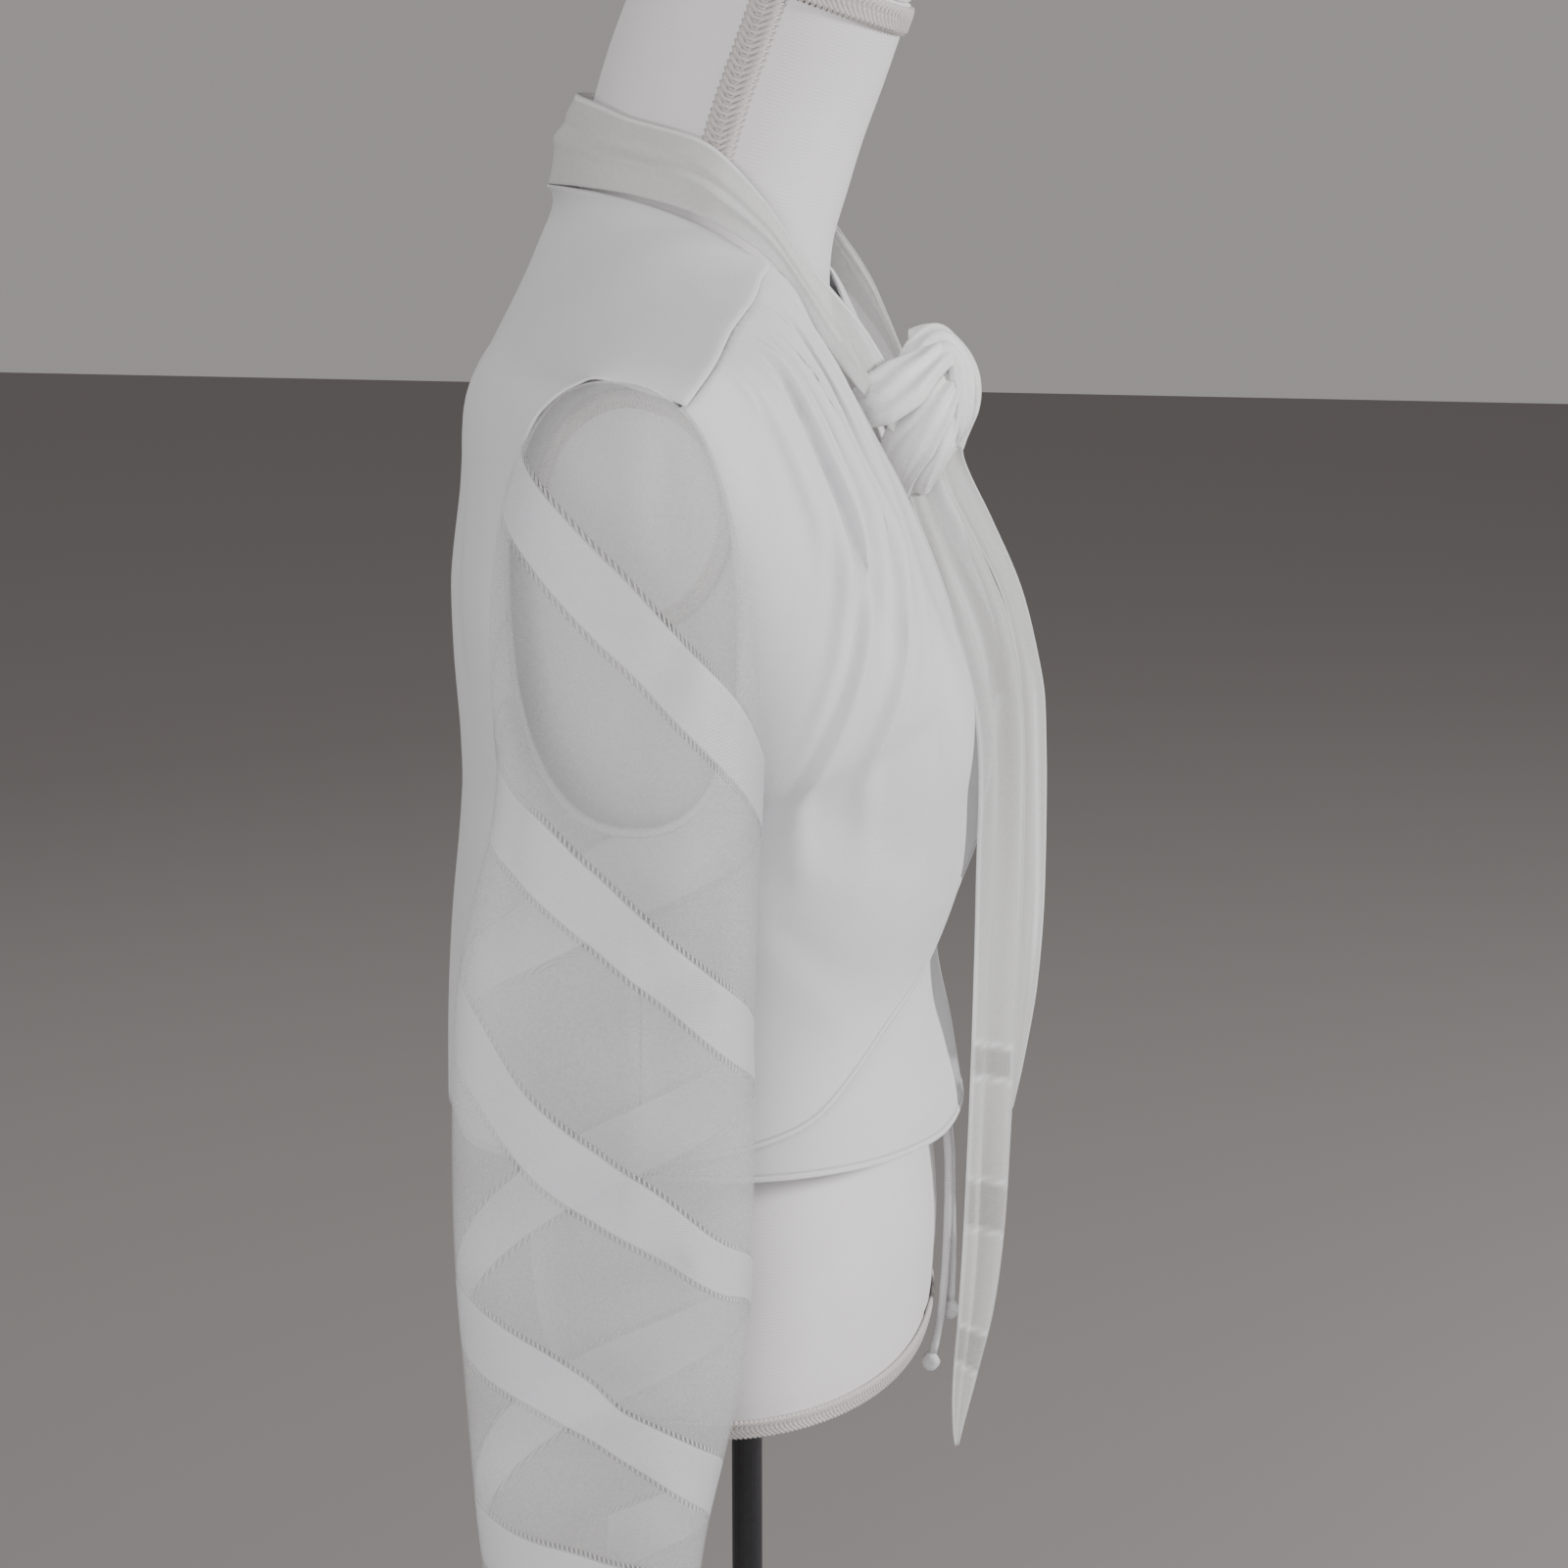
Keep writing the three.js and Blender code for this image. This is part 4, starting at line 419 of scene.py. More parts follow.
def gimp(name, line, out, width, *nodes):
    """Two rows of loops: a thread that swings from side to side of the line as it goes along and leans with the
    square of its swing, drawn twice half a step apart, over a flat middle cord. Each is a tube of six sides."""
    run = np.r_[0, np.cumsum(np.linalg.norm(np.diff(line, axis=0), axis=1))]
    loops = max(int(round(run[-1] / (0.42 * width))), 2)
    s = np.linspace(0, run[-1], loops * 12 + 1)
    base, n = (np.stack([np.interp(s, run, v[:, k]) for k in range(3)], -1) for v in (line, out))
    n /= np.linalg.norm(n, axis=1, keepdims=True)
    way = np.gradient(base, axis=0)
    way /= np.linalg.norm(way, axis=1, keepdims=True)
    side = np.cross(way, n) * (width / 2 - 0.0008)
    phase = 2 * np.pi * loops * s[:, None] / run[-1]
    lean = way * (0.0011 * np.sin(2 * phase) + 0.34 * width * np.sin(phase) ** 2)
    paths = [(base[::3] + n[::3] * 0.0012, 0.0012)]
    for shift in (np.pi, 0):
        above = n * (0.0013 + 0.0005 * np.cos(phase + shift))
        paths.insert(0, (base + lean + side * np.sin(phase + shift) + above, 0.088 * width))
    points, faces, start = [], [], 0
    for path, radius in paths:
        ring = tube(path, radius, 6)
        points.append(ring.reshape(-1, 3))
        faces.append(grid_faces(*ring.shape[:2], True, start))
        for first, flip in ((start, 1), (start + (len(ring) - 1) * 6, -1)):
            faces.append(first + np.array([[0, 1, 2, 3], [0, 3, 4, 5]])[:, ::-flip])
        start += ring.shape[0] * 6
    made = piece(name, np.vstack(points), np.vstack(faces)[:, ::-1], braid_thread)
    if nodes:
        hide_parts(*nodes)


def form_line(angle, z):
    """A line over the form at angles and heights, with its outward normals."""
    z = np.full(len(angle), 1.0) * z
    n = np.cross(form_at(angle + 0.01, z) - form_at(angle - 0.01, z), form_at(angle, z + 1) - form_at(angle, z - 1))
    return form_at(angle, z), n / np.linalg.norm(n, axis=1, keepdims=True)


gimp("braid_rim", *form_line(np.linspace(0, 2 * np.pi, 220), 7), 0.011, "form_braid_rim")
gimp("braid_neck_top", *form_line(np.linspace(0, 2 * np.pi, 120), 677), 0.013, "form_braid_neck_top")
for side, word in ((-1, "right"), (1, "left")):
    up_neck = form_line(np.full(30, side * 1.44), np.linspace(572, 670, 30))
    gimp(f"braid_neck_{word}", *up_neck, 0.0155, f"form_braid_neck_{word}")
    oval = np.linspace(0, 2 * np.pi, 90)
    f, z = -19 + 40 * np.cos(oval), 447 + 50 * np.sin(oval)
    round_plate = place(side * (side_of_form(f, z) + 2.0), f, z)
    gimp(f"braid_plate_{word}", round_plate, np.tile((side, 0.0, 0.0), (90, 1)), 0.009)

# The back panel is one piece of opaque white crepe from the hem up over the shoulders to the forward seams. It
# hangs loose and straight from the shoulder blades, with a few long soft folds.
cloth_sections = {
    "z": [100, 150, 200, 250, 300, 350, 400, 440, 475, 497, 508, 521, 535, 548, 562, 582],
    "halfWidth": [160, 157, 152, 154, 160, 170, 179, 185, 188, 187, 180, 146, 108, 80, 72, 66],
    "front": [114, 106, 96, 105, 106, 103, 94, 83, 68, 57, 51, 46, 44, 43, 42, 42],
    "back": [-147, -147, -145, -140, -133, -130, -129, -122, -116, -111, -109, -106, -103, -100, -96, -91],
    "middle": [-20] * 16,
    "power": [2.3] * 5 + [2.4, 2.5, 2.5, 2.4, 2.3, 2.2, 2.2, 2.3, 2.4, 2.4, 2.4],
}
bust = {"x": 84, "z": 345, "rise": 24, "halfWidth": 50, "above": 60, "below": 95}
side_angle = np.pi / 2 - 0.0015


def cloth_at(angle, z, scale=1.0):
    """A point of the blouse's section, as distances to the left, forward and up in mm."""
    x, f = section(cloth_sections, bust, angle, z, scale)
    return np.stack(np.broadcast_arrays(x, f, z), -1)


def angle_at_x(x, z, behind=False):
    """The angle at which the cloth has a given x, in front or behind."""
    wide, power = columns_of(cloth_sections, "z", z, "halfWidth", "power")
    angle = np.arcsin(power_of(np.clip(x / wide, -1, 1), power / 2))
    return np.where(behind, np.where(np.asarray(x) < 0, -1, 1) * np.pi - angle, angle)


def armhole(turn):
    """The armhole's oval in its leaning plane: 0 is the shoulder tip, a quarter turn the front."""
    up, forward = power_of(np.cos(turn), 2 / 2.4), power_of(np.sin(turn), 2 / 2.4)
    return np.stack([175 + 10 * up, -21 + 51 * forward, 406 + 101 * up], -1)


def locate(x, f, z):
    """The angle and scale of a point that lies a little off the cloth's section."""
    wide, front, back, power = columns_of(cloth_sections, "z", z, "halfWidth", "front", "back", "power")
    reach = np.where(f > -20, front + 20, -20 - back)
    angle = np.arctan2(power_of(x / wide, power / 2), power_of((f + 20) / reach, power / 2))
    on = cloth_at(angle, z)
    return angle, np.hypot(x, f + 20) / np.hypot(on[..., 0], on[..., 1] + 20)


seam_turn = np.arccos(((496 - 305) / 101 - 1) ** 1.2)
shoulder_xz = [(161, 508.6), (126, 521.4), (93, 533.4), (67, 547.8)]
arm_end = armhole(seam_turn)
shoulder_line = [arm_end] + [cloth_at(angle_at_x(x, z), z) for x, z in shoulder_xz]
shoulder_line = smooth_line(shoulder_line, np.linspace(0, 1, 9))


def finer(grid, rows, columns):
    """The same sheet on a finer grid: a smooth curve through every column of points, then through every row."""
    def along(block, count):
        where = np.linspace(0, len(block) - 1, count)
        i = np.clip(where.astype(int), 0, len(block) - 2)
        t = (where - i)[:, None, None]
        p = np.concatenate([2 * block[:1] - block[1:2], block, 2 * block[-1:] - block[-2:-1]])
        a, b, c, d = p[i], p[i + 1], p[i + 2], p[i + 3]
        return 0.5 * (2 * b + (c - a) * t + (2 * a - 5 * b + 4 * c - d) * t**2 + (3 * b - a - 3 * c + d) * t**3)
    return along(along(grid, rows).transpose(1, 0, 2), columns).transpose(1, 0, 2)


back_folds = [(-62, 5, 190, 9), (-30, 4, 240, 11), (8, 4.5, 210, 10), (38, 3.6, 230, 12), (66, 5, 180, 9)]
back_guides = [
    (-0.5, [(150, 505, 1), (100, 521, 1)], [(72, 537), (40, 547), (0, 549)]),
    (-0.24, [(156, 506.5, 1), (115, 521, 1), (87, 533, 1)], [(74, 549), (44, 558), (0, 559)]),
    (-0.04, [(161, 0, 2), (126, 0, 2), (86, 0, 2)], [(75, 561), (46, 567), (0, 567)]),
    (None, [], [(66, 576), (50, 580), (26, 580), (0, 580)]),
]


def ridge(x):
    """The height of the shoulders' ridge at a distance from the middle."""
    z = np.linspace(497, 582, 400)
    return np.interp(-x, -column(cloth_sections, "z", z, "halfWidth"), z)


def back_half(side):
    """Level rows up to the shoulder blades, then guide rows over the ridge to the forward seam and the neck."""
    rows = []
    for z in (134, 182, 230, 280, 325, 370, 412, 452, 484):
        edge, edge_scale = side_angle, 1.0
        if z > 305:
            p = armhole(-np.arccos(power_of((z - 305) / 101 - 1, 1.2)))
            found, edge_scale = locate(*p)
            edge = np.pi - found
        edge_x = cloth_at(np.pi - edge, z)[0]
        c = np.arange(15)
        even = 1 - c / 14
        share = np.where(c <= 8, 1 - 0.55 * c / 8, 0.45 * (1 - (c - 8) / 6))
        by_x = np.pi - angle_at_x(edge_x * share, z, True)
        blend = ease(z, 250, 480)
        angle = (1 - blend) * edge * even + blend * np.where(c == 0, edge, by_x)
        pressed = 1 + (edge_scale - 1) * even**5
        for middle, depth, reach, width in back_folds:
            away = (side * np.degrees(angle) - middle) / width
            pressed = pressed - depth / 130 * (1 - ease(z, 134, 134 + reach)) * np.exp(-away * away)
        rows.append(cloth_at(np.pi - angle, np.full(15, float(z)), pressed) * (side, 1, 1))
    for turn, seam, neck in back_guides:
        line = shoulder_line * (side, 1, 1) - (0, 0.4, 0)
        if seam:
            arm = armhole(turn) * (side, 1, 1)
            through = [arm]
            for x, z, kind in seam:
                at = np.array((x, -20, ridge(x))) if kind == 2 else cloth_at(angle_at_x(x, z, True), z)
                through.append(at * (side, 1, 1))
            line = smooth_line(through, np.linspace(0, 1, 9))
        start = [line[-1]]
        if turn is None:
            start.append(cloth_at(angle_at_x(70, 566), 566) * (side, 1, 1))
        start += [cloth_at(angle_at_x(x, z, True), z) * (side, 1, 1) for x, z in neck]
        to_middle = smooth_line(start, np.linspace(0, 1, 7))
        rows.append(np.vstack([line, to_middle[1:]]))
    return np.array(rows)


back_columns, smoothing_passes, fullness = 150, 130, 9
dense = finer(np.concatenate([back_half(-1), back_half(1)[:, -2::-1]], axis=1), 118, back_columns)
for _ in range(smoothing_passes):
    mid = dense[1:-1, 1:-1]
    pull = (dense[:-2, 1:-1] + dense[2:, 1:-1] + dense[1:-1, :-2] + dense[1:-1, 2:]) / 4 - mid
    dense[1:-1, 1:-1] = mid + pull * 0.6 * ease(mid[..., 2:], 400, 450)
across_back = np.arange(back_columns)
from_arm = np.minimum(across_back, across_back[::-1])
fuller = fullness * np.exp(-(((dense[..., 2] - 498) / 36) ** 2)) * ease(-dense[..., 1], 35, 95) * ease(from_arm, 6, 30)
back_grid = place(dense[..., 0], dense[..., 1] - fuller, dense[..., 2])


def outward(grid, shut=False, inside=(0, 0.02)):
    """Unit cross products of the steps along and across the grid, turned away from a place inside the piece."""
    across = np.roll(grid, -1, 1) - np.roll(grid, 1, 1) if shut else np.gradient(grid, axis=1)
    n = np.cross(across, np.gradient(grid, axis=0))
    n = n / np.maximum(np.linalg.norm(n, axis=-1, keepdims=True), 1e-12)
    return n if np.sum(n[..., :2] * (grid[..., :2] - np.asarray(inside))) > 0 else -n


def cloth(name, grid, wall, finish, values, shut=False, inside=(0, 0.02)):
    """A thin closed shell: the grid is its outer face, and the inner face lies a wall further in along the
    normals. Rims close it at the open edges. The UV map runs along the rows and columns in metres."""
    n = outward(grid, shut, inside)
    rows, columns = grid.shape[:2]
    u = np.cumsum(np.r_["1", np.zeros((rows, 1)), np.linalg.norm(np.diff(grid, axis=1), axis=2)], axis=1)
    v = down_from_top(grid)
    points = np.r_[grid.reshape(-1, 3), (grid - n * wall).reshape(-1, 3)]
    top = grid_faces(rows, columns, shut)
    sample = top[len(top) // 2]
    a, b, c = points[sample[:3]]
    turned = np.dot(np.cross(b - a, c - a), n.reshape(-1, 3)[sample[0]]) < 0
    if turned:
        top = top[:, ::-1]
    count = rows * columns
    faces = [top, top[:, ::-1] + count]
    rims = [(np.arange(columns), turned), ((rows - 1) * columns + np.arange(columns), not turned)]
    if shut:
        rims = [(np.r_[rim, rim[:1]], backward) for rim, backward in rims]
    else:
        rims += [(np.arange(rows) * columns, not turned), (np.arange(rows) * columns + columns - 1, turned)]
    for rim, backward in rims:
        x, y = (rim[1:], rim[:-1]) if backward else (rim[:-1], rim[1:])
        faces.append(np.stack([y, x, x + count, y + count], -1))
    uv = np.stack([u, v], -1).reshape(-1, 2)
    doubled = {key: np.tile(np.ravel(value), 2) for key, value in values.items()}
    return piece(name, points, np.vstack(faces), finish, np.r_[uv, uv], doubled)


def down_from_top(grid):
    """The way along each column from the first row, in metres."""
    return np.cumsum(np.r_[np.zeros((1, grid.shape[1])), np.linalg.norm(np.diff(grid, axis=0), axis=2)], axis=0)


def cloth_area(shell):
    """The area of one face of a shell, in square metres."""
    return 0.5 * sum(face.area for face in shell.data.polygons)


def troughs(grid, creases, out):
    """Moves a grid in or out along its normals by soft creases. Each crease is a line through a few points, with
    a depth in mm, plus for a ridge, and a width in mm. It falls off as a bell to both sides and fades towards
    both ends."""
    shift = np.zeros(grid.shape[:2])
    for points, depth, width in creases:
        line = smooth_line([place(*p) for p in points], np.linspace(0, 1, 40))
        best = np.full(grid.shape[:2], 1e9)
        near = np.zeros(grid.shape[:2])
        for k, p in enumerate(line):
            away = np.linalg.norm(grid - p, axis=-1)
            near = np.where(away < best, k / 39, near)
            best = np.minimum(best, away)
        fade = np.sin(np.pi * np.clip(near, 0.0, 1.0) ** 0.8)
        shift += depth * fade * np.exp(-((best * 1000 / width / (0.75 + 0.8 * near)) ** 2))
    return grid + out * (shift / 1000)[..., None]


blouse_cloth = Finish("blouse_cloth", Roughness=0.74, Sheen_Weight=0.18, Subsurface_Weight=0.35,
                      Subsurface_Radius=(1, 1, 1), Subsurface_Scale=0.003)
plain_weave = blouse_cloth.weave(0.0009)
cloud = blouse_cloth.noise(9, 4)
# A line 3.1 mm in from the hem, and on the fronts from the neckline too, is painted dark grey where the narrow hem
# steps down. This is painted shade along the hem's step, with a real stitched groove in the bump.
off_hem_step = (blouse_cloth.attribute("edge") - 0.0031).maths("ABSOLUTE")
hem_groove_shade = 1 - off_hem_step.above(0.0005, 0.0004)
white = blouse_cloth.mix(cloud * 0.8 + plain_weave * 0.1, (0.64, 0.635, 0.66), (0.74, 0.735, 0.765))
blouse_cloth.feed("Base Color", blouse_cloth.mix(hem_groove_shade * 0.7, white, (0.42, 0.415, 0.44)))
blouse_cloth.bump(plain_weave * 0.25 + blouse_cloth.noise(700, 3) * 0.5 - hem_groove_shade * 1.5, 0.0003, 0.6)
back_creases = [
    ([(-130, -110, 470), (-120, -120, 400), (-128, -112, 330)], -3.0, 11),
    ([(-95, -108, 480), (-80, -122, 400), (-85, -130, 300)], 2.2, 14),
    ([(-150, -70, 440), (-150, -75, 380), (-146, -66, 320)], 2.4, 9),
    ([(120, -112, 470), (112, -118, 390), (120, -112, 320)], -2.6, 12),
    ([(60, -106, 500), (50, -126, 420), (56, -132, 330)], 1.8, 15),
    ([(-20, -110, 520), (-14, -126, 430), (-18, -134, 330)], -1.6, 16),
    ([(-140, -30, 506), (-120, -32, 512), (-90, -24, 530)], -1.2, 8),
    ([(140, -30, 506), (118, -30, 514), (90, -24, 530)], -1.2, 8),
    ([(-140, -60, 300), (-120, -105, 262), (-90, -122, 240)], -2.0, 10),
    ([(140, -60, 296), (122, -104, 260), (96, -120, 236)], -2.0, 10),
]
crepe_wall = 0.0011
back_grid = troughs(back_grid, back_creases, outward(back_grid))
out = outward(back_grid)
back_grid = back_grid + out * 0.0009 * ease(back_grid[..., 2:], 1.01, 1.05)
tip = back_grid[-1] - back_grid[-3]
tip /= np.linalg.norm(tip, axis=1, keepdims=True)
on_seam = ease(np.abs(across_back - across_back.mean()), 30, 33)[:, None]
lap = [back_grid[-1] + (tip * 0.0011 * k - out[-1] * 0.0001 * k * k) * on_seam for k in (1, 2, 3)]
edge_height = np.where(back_grid[-9:, :, :1] < 0, 0.0022, 0.0007)
lift = out[-9:] * edge_height * np.linspace(0, 1, 9)[:, None, None] ** 1.5 * on_seam
back_grid[-9:] += lift
back_grid = np.concatenate([back_grid, np.array(lap) + lift[-1:]])
back_panel = cloth("back_panel", back_grid, crepe_wall, blouse_cloth, {"edge": down_from_top(back_grid)})
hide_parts("back")

# The two fronts are crossed: the right one laps over the left. Each is gathered all along the forward shoulder
# seam into small pleats that open into soft folds over the bust, and ends in a narrow stitched hem.
neckline = [(66, 538), (62, 511), (58, 486), (53, 462), (45, 437), (35, 411), (21, 385), (0, 358), (-40, 332),
            (-90, 314)]
petal_hem = [(134, 158), (116, 172), (89, 192), (65, 205), (42, 217), (0, 238), (-60, 251), (-120, 257)]
straight_hem = [(130, 122), (80, 118), (30, 117), (-30, 121), (-71, 126), (-100, 129), (-130, 132)]
gathers = [(0.30, 1.6, 0.30), (0.40, 2.3, 0.55), (0.52, 3.0, 0.80), (0.63, 2.0, 0.50), (0.74, 2.7, 0.85),
           (0.86, 1.9, 0.62), (0.95, 1.4, 0.40)]
fine_gathers = [(0.25, 0.8, 0.08), (0.345, 1.0, 0.13), (0.455, 1.3, 0.2), (0.575, 1.5, 0.26), (0.69, 1.2, 0.2),
                (0.8, 1.4, 0.28), (0.905, 1.1, 0.2), (0.985, 0.8, 0.12)]


def chart_angle(across, z):
    """Across the front, a place is an angle low down and a distance from the middle near the shoulders."""
    share = ease(z, 330, 450)
    return (1 - share) * across / 115 + share * angle_at_x(across, z)


def chart_across(angle, z):
    """The inverse of chart_angle, found by halving."""
    low, high = np.full(np.shape(angle), -200.0), np.full(np.shape(angle), 200.0)
    for _ in range(30):
        mid = (low + high) / 2
        less = chart_angle(mid, z) < angle
        low, high = np.where(less, mid, low), np.where(less, high, mid)
    return (low + high) / 2


def edge_line(points, shares):
    """Samples of a smooth curve through edge points (angle, z, scale), as places across the chart, z and scale."""
    p = np.array(points, float)
    across = chart_across(p[:, 0], p[:, 1])
    return smooth_line(np.stack([across, p[:, 1], p[:, 2] * 150], -1), shares) / (1, 1, 150)


def front_panel(side, hem, own_hem_z, far_hem_z, layer, gather_foot, rows, columns):
    """A sheet ruled between hem and top edge, which is the gathered shoulder seam and then the neckline. The
    armhole's line bends it, less and less with the distance from it. Gathers are bell-shaped ridges."""
    split = 26 / 44
    s = np.linspace(0, 1, columns)
    t = np.r_[np.linspace(0, 0.03, 9)[:-1], np.linspace(0.03, 1, rows - 8)]

    def on(xz):
        return [(float(angle_at_x(-x, z)), z, 1.0) for x, z in xz]

    arm_x, arm_f, arm_z = armhole(seam_turn)
    arm_angle, arm_scale = locate(-arm_x, arm_f + 0.6, arm_z)
    hem_fine = edge_line([(-side_angle, own_hem_z, 1), *on(hem), (side_angle, far_hem_z, 1)], np.linspace(0, 1, 900))
    over = s <= split
    heads = np.empty((columns, 3))
    heads[over] = edge_line([(arm_angle, arm_z, arm_scale), *on(shoulder_xz)], s[over] / split)
    top = [*on(shoulder_xz[-1:]), *on(neckline), (side_angle, 300, 1)]
    heads[~over] = edge_line(top, (s[~over] - split) / (1 - split))
    corner = np.interp(split, s, heads[:, 0])
    across = np.where(over, hem_fine[0, 0] + (corner - hem_fine[0, 0]) * s / split, heads[:, 0])
    feet = np.stack([np.interp(across, hem_fine[:, 0], hem_fine[:, k]) for k in range(3)], -1)
    turns = np.pi + (seam_turn - np.pi) * np.arange(1, 9) / 9
    arm_points = [(*(float(v) for v in locate(-p[0], p[1], p[2])), p[2]) for p in armhole(turns)]
    side_points = [(-side_angle, own_hem_z + (299 - own_hem_z) * i / 4, 1) for i in range(5)]
    side_points += [(a, z, k) for a, k, z in arm_points] + [(arm_angle, arm_z, arm_scale)]
    side_line = edge_line(side_points, t)
    bend = side_line - (side_line[0] + (side_line[-1] - side_line[0]) * t[:, None])
    q = feet[None] + (heads - feet)[None] * t[:, None, None] + ((1 - s) ** 1.6)[None, :, None] * bend[:, None]
    z = q[..., 1]
    angle = np.maximum(chart_angle(q[..., 0], z), -side_angle)
    base = cloth_at(angle, z, q[..., 2])
    around, upward = ((cloth_at(angle + a, z + h, q[..., 2]) - cloth_at(angle - a, z - h, q[..., 2])) * (1, -1, 1)
                      for a, h in ((0.01, 0), (0, 1)))
    n = np.cross(around, upward)
    n /= np.linalg.norm(n, axis=-1, keepdims=True)
    where, high = (s / split)[None], t[:, None]
    rise = np.zeros_like(z)
    for middle, lift, run in gathers:
        strength = ease(high, 1 - run, 1 - run * 0.45) * (1 - 0.8 * ease(high, 0.955, 1))
        width = 0.026 * (1 + 1.5 * (1 - high))
        rise += 1.7 * lift * strength * np.exp(-(((where - middle) / width) ** 2))
    for middle, lift, run in fine_gathers:
        strength = ease(high, 1 - run, 1 - run * 0.4) * (1 - 0.75 * ease(high, 0.965, 1))
        rise += 1.9 * lift * strength * np.exp(-(((where - middle) / 0.015) ** 2))
    rise *= ease(z, gather_foot, gather_foot + 40)
    from_foot = down_from_top(base) / 1000
    from_head = np.where(where > 1.01, from_foot[-1:] - from_foot, 1.0)
    edge = np.minimum(from_foot, from_head)
    rise += 0.7 * (1 - ease(edge, 0.0024, 0.0034))
    out = place(base[..., 0], base[..., 1], z) + n * ((layer * layer_rise(base[..., 0]) + rise) / 1000)[..., None]
    out = out * (-side, 1, 1)
    return (out[:, ::-1], edge[:, ::-1]) if side > 0 else (out, edge)


def layer_rise(x):
    """How far the right front stands off, and the left front lies in: most at the wearer's right of the wrap."""
    return 6.5 * (x + 185) / 370


right_creases = [
    ([(-155, 21, 504), (-160, 28, 491), (-163, 35, 475), (-166, 38, 458), (-168, 40, 430)], -2.6, 9),
    ([(-130, 28, 508), (-138, 44, 484), (-137, 55, 463), (-135, 63, 442), (-130, 74, 415),
       (-120, 88, 385)], 3.8, 8),
    ([(-116, 22, 524), (-122, 33, 508), (-126, 44, 494), (-128, 53, 477), (-126, 64, 455), (-124, 77, 422),
       (-118, 90, 392), (-108, 100, 350)], -4.8, 6.5),
    ([(-100, 26, 530), (-103, 44, 505), (-104, 59, 479), (-101, 72, 454), (-97, 84, 430), (-92, 96, 400),
       (-86, 106, 368)], 4.4, 7),
    ([(-84, 34, 528), (-84, 48, 508), (-86, 60, 488), (-88, 72, 462), (-86, 84, 436)], -4.0, 4.2),
    ([(-72, 38, 528), (-70, 52, 505), (-68, 64, 480), (-64, 76, 450)], 2.4, 4.5),
    ([(-150, 40, 330), (-132, 78, 300), (-104, 104, 282), (-60, 112, 270)], -1.6, 13),
    ([(-150, 40, 296), (-130, 76, 268), (-96, 98, 252)], 1.4, 12),
    ([(-148, 40, 262), (-128, 70, 226), (-100, 88, 214)], -2.0, 10),
    ([(-146, 50, 240), (-122, 76, 200), (-112, 84, 186)], 1.8, 9),
    ([(-60, 122, 372), (-24, 112, 340), (20, 112, 318), (70, 118, 300)], -1.6, 9),
    ([(-50, 118, 330), (0, 108, 300), (60, 112, 284)], 1.4, 9),
]
left_creases = [([(x * -1, f, z) for x, f, z in line], depth, width) for line, depth, width in right_creases[:7]]
left_creases += [
    ([(-100, 92, 170), (-40, 108, 158), (40, 110, 150)], -1.8, 10),
    ([(-90, 92, 140), (-20, 112, 136), (60, 106, 132)], 1.3, 9),
    ([(60, 106, 210), (20, 100, 180), (-30, 104, 160)], -1.6, 11),
]
for word, side, hem, own_z, far_z, layer, foot, creases, node in (
        ("right", -1, petal_hem, 142, 258, 1, 250, right_creases, "front_right"),
        ("left", 1, straight_hem, 128, 135, -1, 372, left_creases, "front_left")):
    grid, edge = front_panel(side, hem, own_z, far_z, layer, foot, rows=118, columns=156)
    grid = troughs(grid, creases, outward(grid))
    front = cloth(f"{word}_front", grid, crepe_wall, blouse_cloth, {"edge": edge})
    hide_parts(node)

# Each sleeve is sheer crepe, cut on the slant in strips and joined to two satin bands that wind down it. A ladder
# stitch of short threads holds the strips about 3 mm apart. The armhole seam shows as a narrow doubled edge.
sleeve_rings = {
    "outerX": [185, 199, 214, 226, 233, 237, 239, 240, 241, 241, 241, 241, 240, 239, 238, 236, 234, 232],
    "outerZ": [507, 504, 494, 474, 444, 406, 364, 322, 280, 240, 200, 160, 120, 80, 40, 0, -38, -77],
    "innerX": [165, 169.5, 173, 175, 176, 176, 176, 176, 176, 176, 176, 176, 176, 176.5, 177, 178, 180, 182],
    "innerZ": [305, 298, 288, 276, 262, 246, 228, 208, 186, 162, 136, 108, 78, 46, 14, -18, -48, -77],
    "f": [-21, -18.5, -16, -13.5, -12, -11.5, -14, -19, -23, -24, -25, -25.5, -26, -27, -30, -33, -34, -34.5],
    "halfDepth": [51, 54.5, 57.5, 59.5, 59, 57.5, 58.5, 63, 66, 67.5, 68, 68, 67, 64, 59, 54, 50, 47],
    "power": [2.4, 2.4, 2.3, 2.2] + [2.1] * 13 + [2],
}
sleeve_rings["place"] = [i / 17 for i in range(18)]
sleeve_bands = {
    "a": [(0.02, 515, 479), (0.1, 489, 452), (0.165, 467, 429), (0.25, 436, 400), (0.33, 405, 371), (0.41, 380, 346),
          (0.5, 352, 323), (0.75, 305, 270), (1, 264, 226), (1.1, 240, 202), (1.2, 200, 166), (1.3, 170, 139),
          (1.4, 139, 115), (1.5, 123, 102), (1.75, 66, 34), (2, 8, -22), (2.1, -4, -34), (2.3, -19, -49),
          (2.5, -38, -67)],
    "b": [(-0.36, 424, 386), (-0.25, 402, 368), (0, 358, 328), (0.12, 337, 309), (0.19, 326, 294), (0.25, 307, 276),
          (0.3, 289, 258), (0.35, 271, 241), (0.42, 252, 221), (0.5, 235, 206), (0.75, 175, 142), (1, 114, 82),
          (1.1, 100, 68), (1.2, 85, 57), (1.25, 74, 48), (1.3, 58, 35), (1.4, 39, 13), (1.5, 24, -4),
          (1.75, -24, -54)],
}


